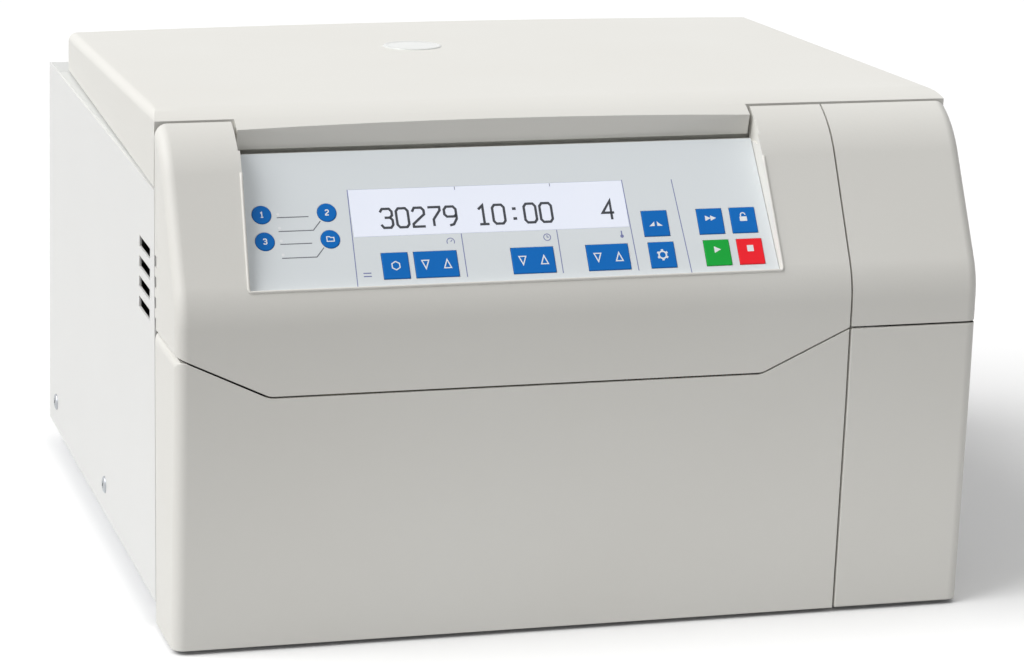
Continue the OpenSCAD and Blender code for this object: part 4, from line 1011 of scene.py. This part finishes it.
hub.transform(placed(fan_centre.x, fan_front, fan_centre.z, -math.pi / 2))
bmesh.ops.remove_doubles(hub, verts=hub.verts, dist=0.001 * MM)
ride_along(piece_from(hub, "fan_hub", nylon), "fan_blades")

# %% [markdown]
# The rotor nut is gripped by hand, so its rim is scalloped. It is spun in the CAD model with
# eight hollows; the copy rounds each rib. The switch carries the two generic signs for on and
# off, a line and a ring, drawn in white ink on its two halves.

# %% Rotor nut, switch signs and contacts
soften("rotor_nut", 0.8, nut_metal, segments=3)

SWITCH_TILT = math.radians(8)
SWITCH_IN_MM, SIGN_OUT_MM, SIGN_RISE_MM, MARK_STROKE_MM, MARK_TALL_MM = 6, 5.42, 4.1, 0.45, 0.1
ROCKER_TURN = math.atan2(1.6, 8.2)
rear_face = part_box("rear_panel")[0].y
switch = centre_of("mains_switch_frame")
switch_place = placed(switch.x, rear_face - SWITCH_IN_MM * MM, switch.z, SWITCH_TILT)
marks = []
for side, path in ((1, [(0, -1.3), (0, 1.3)]), (-1, arc((0, 0), 1.3, 0, 345, 23))):
    mark = bmesh.new()
    stroke(mark, path, MARK_STROKE_MM, 0, MARK_TALL_MM, closed=side < 0)
    mark.transform(switch_place @ Matrix.Translation((0, SIGN_OUT_MM, side * SIGN_RISE_MM))
                   @ Matrix.Rotation(-math.pi / 2 - side * ROCKER_TURN, 4, "X")
                   @ Matrix.Rotation(math.pi, 4, "Z"))
    marks.append(mark)
ride_along(piece_from(joined(marks), "switch_signs", white_ink), "mains_switch")

INLET_FIT_MM, BLADE_LOW_MM, BLADE_HIGH_MM = 1.95, -1.9, 16.6
inlet = centre_of("power_inlet")
contacts = bmesh.new()
for middle in ((-7, -2.5), (7, -2.5), (0, 1.5)):
    plate(contacts, rounded_box(2.1, 4.1, 0.6, middle), BLADE_LOW_MM, BLADE_HIGH_MM)
contacts.transform(placed(inlet.x, rear_face, inlet.z, math.pi / 2)
                   @ Matrix.Translation((0, 0, INLET_FIT_MM)))
ride_along(piece_from(contacts, "inlet_contacts", brass), "power_inlet")

# %% [markdown]
# The setting is a plain pale floor under soft studio light. A broad sun from the upper left
# gives the top and the left side their brightness and leaves the front in gentle shade, as in
# the photograph. The world fills the shadows. Camera and mirror rays see white.

# %% Floor, world and lights
def seen_directly(tree):
    """1 where a camera, mirror or see-through ray arrives, 0 for the light that fills the room."""
    rays = add(tree, "ShaderNodeLightPath").outputs
    either = add(tree, "ShaderNodeMath", {0: rays["Is Camera Ray"], 1: rays["Is Glossy Ray"]},
                 operation="MAXIMUM")
    return add(tree, "ShaderNodeMath", {0: either.outputs["Value"], 1: rays["Is Transmission Ray"]},
               operation="MAXIMUM").outputs["Value"]


FLOOR_HALF_M, FLOOR_THICK_M = 9, 0.02
ground = bmesh.new()
plate(ground, rectangle(-FLOOR_HALF_M, -FLOOR_HALF_M, FLOOR_HALF_M, FLOOR_HALF_M), -FLOOR_THICK_M, 0)
floor_finish, tree, shader = new_material("pale_matt_floor")
shader.inputs["Roughness"].default_value = 0.9
shader.inputs["Specular IOR Level"].default_value = 0.1
tree.links.new(mixed(tree, seen_directly(tree), "a6a6a6", "ffffff"), shader.inputs["Base Color"])
floor = piece_from(ground, "floor", floor_finish)

world = bpy.data.worlds.new("studio")
bpy.context.scene.world = world
world.use_nodes = True
tree = world.node_tree
background = tree.nodes["Background"]
DIM_FRONT, BRIGHT_CEILING = 0.10, 0.66
height = add(tree, "ShaderNodeSeparateXYZ",
             {"Vector": add(tree, "ShaderNodeTexCoord").outputs["Generated"]})
sky = add(tree, "ShaderNodeMapRange", {"Value": height.outputs["Z"]},
          {"From Min": 0.15, "From Max": 0.8, "To Min": DIM_FRONT, "To Max": BRIGHT_CEILING},
          interpolation_type="SMOOTHSTEP")
level = add(tree, "ShaderNodeMix", {0: seen_directly(tree), MIX_NUMBER_A: sky.outputs["Result"]},
            {MIX_NUMBER_B: 1.0})
white = add(tree, "ShaderNodeRGB")
white.outputs[0].default_value = (1, 1, 1, 1)
tree.links.new(white.outputs[0], background.inputs["Color"])
tree.links.new(level.outputs[0], background.inputs["Strength"])


def aim(holder, place, direction):
    """Stand a lamp at a place, shining along a direction."""
    holder.location = place
    holder.rotation_euler = Vector(direction).to_track_quat("-Z", "Y").to_euler()
    scene_collection.objects.link(holder)


window = bpy.data.lights.new("window_light", "SUN")
window.energy = 2.5
window.angle = math.radians(50)
aim(bpy.data.objects.new("window_light", window), (0, 0, 3), (0.58, 0.03, -0.55))

card = bpy.data.lights.new("bounce_card", "AREA")
card.shape = "RECTANGLE"
card.size, card.size_y = 1.0, 0.06
card.energy = 0.31
card_holder = bpy.data.objects.new("bounce_card", card)
card_holder.visible_camera = False
card_holder.visible_glossy = False
aim(card_holder, (0.08, -0.47, 0.035), (0, 1, 0))
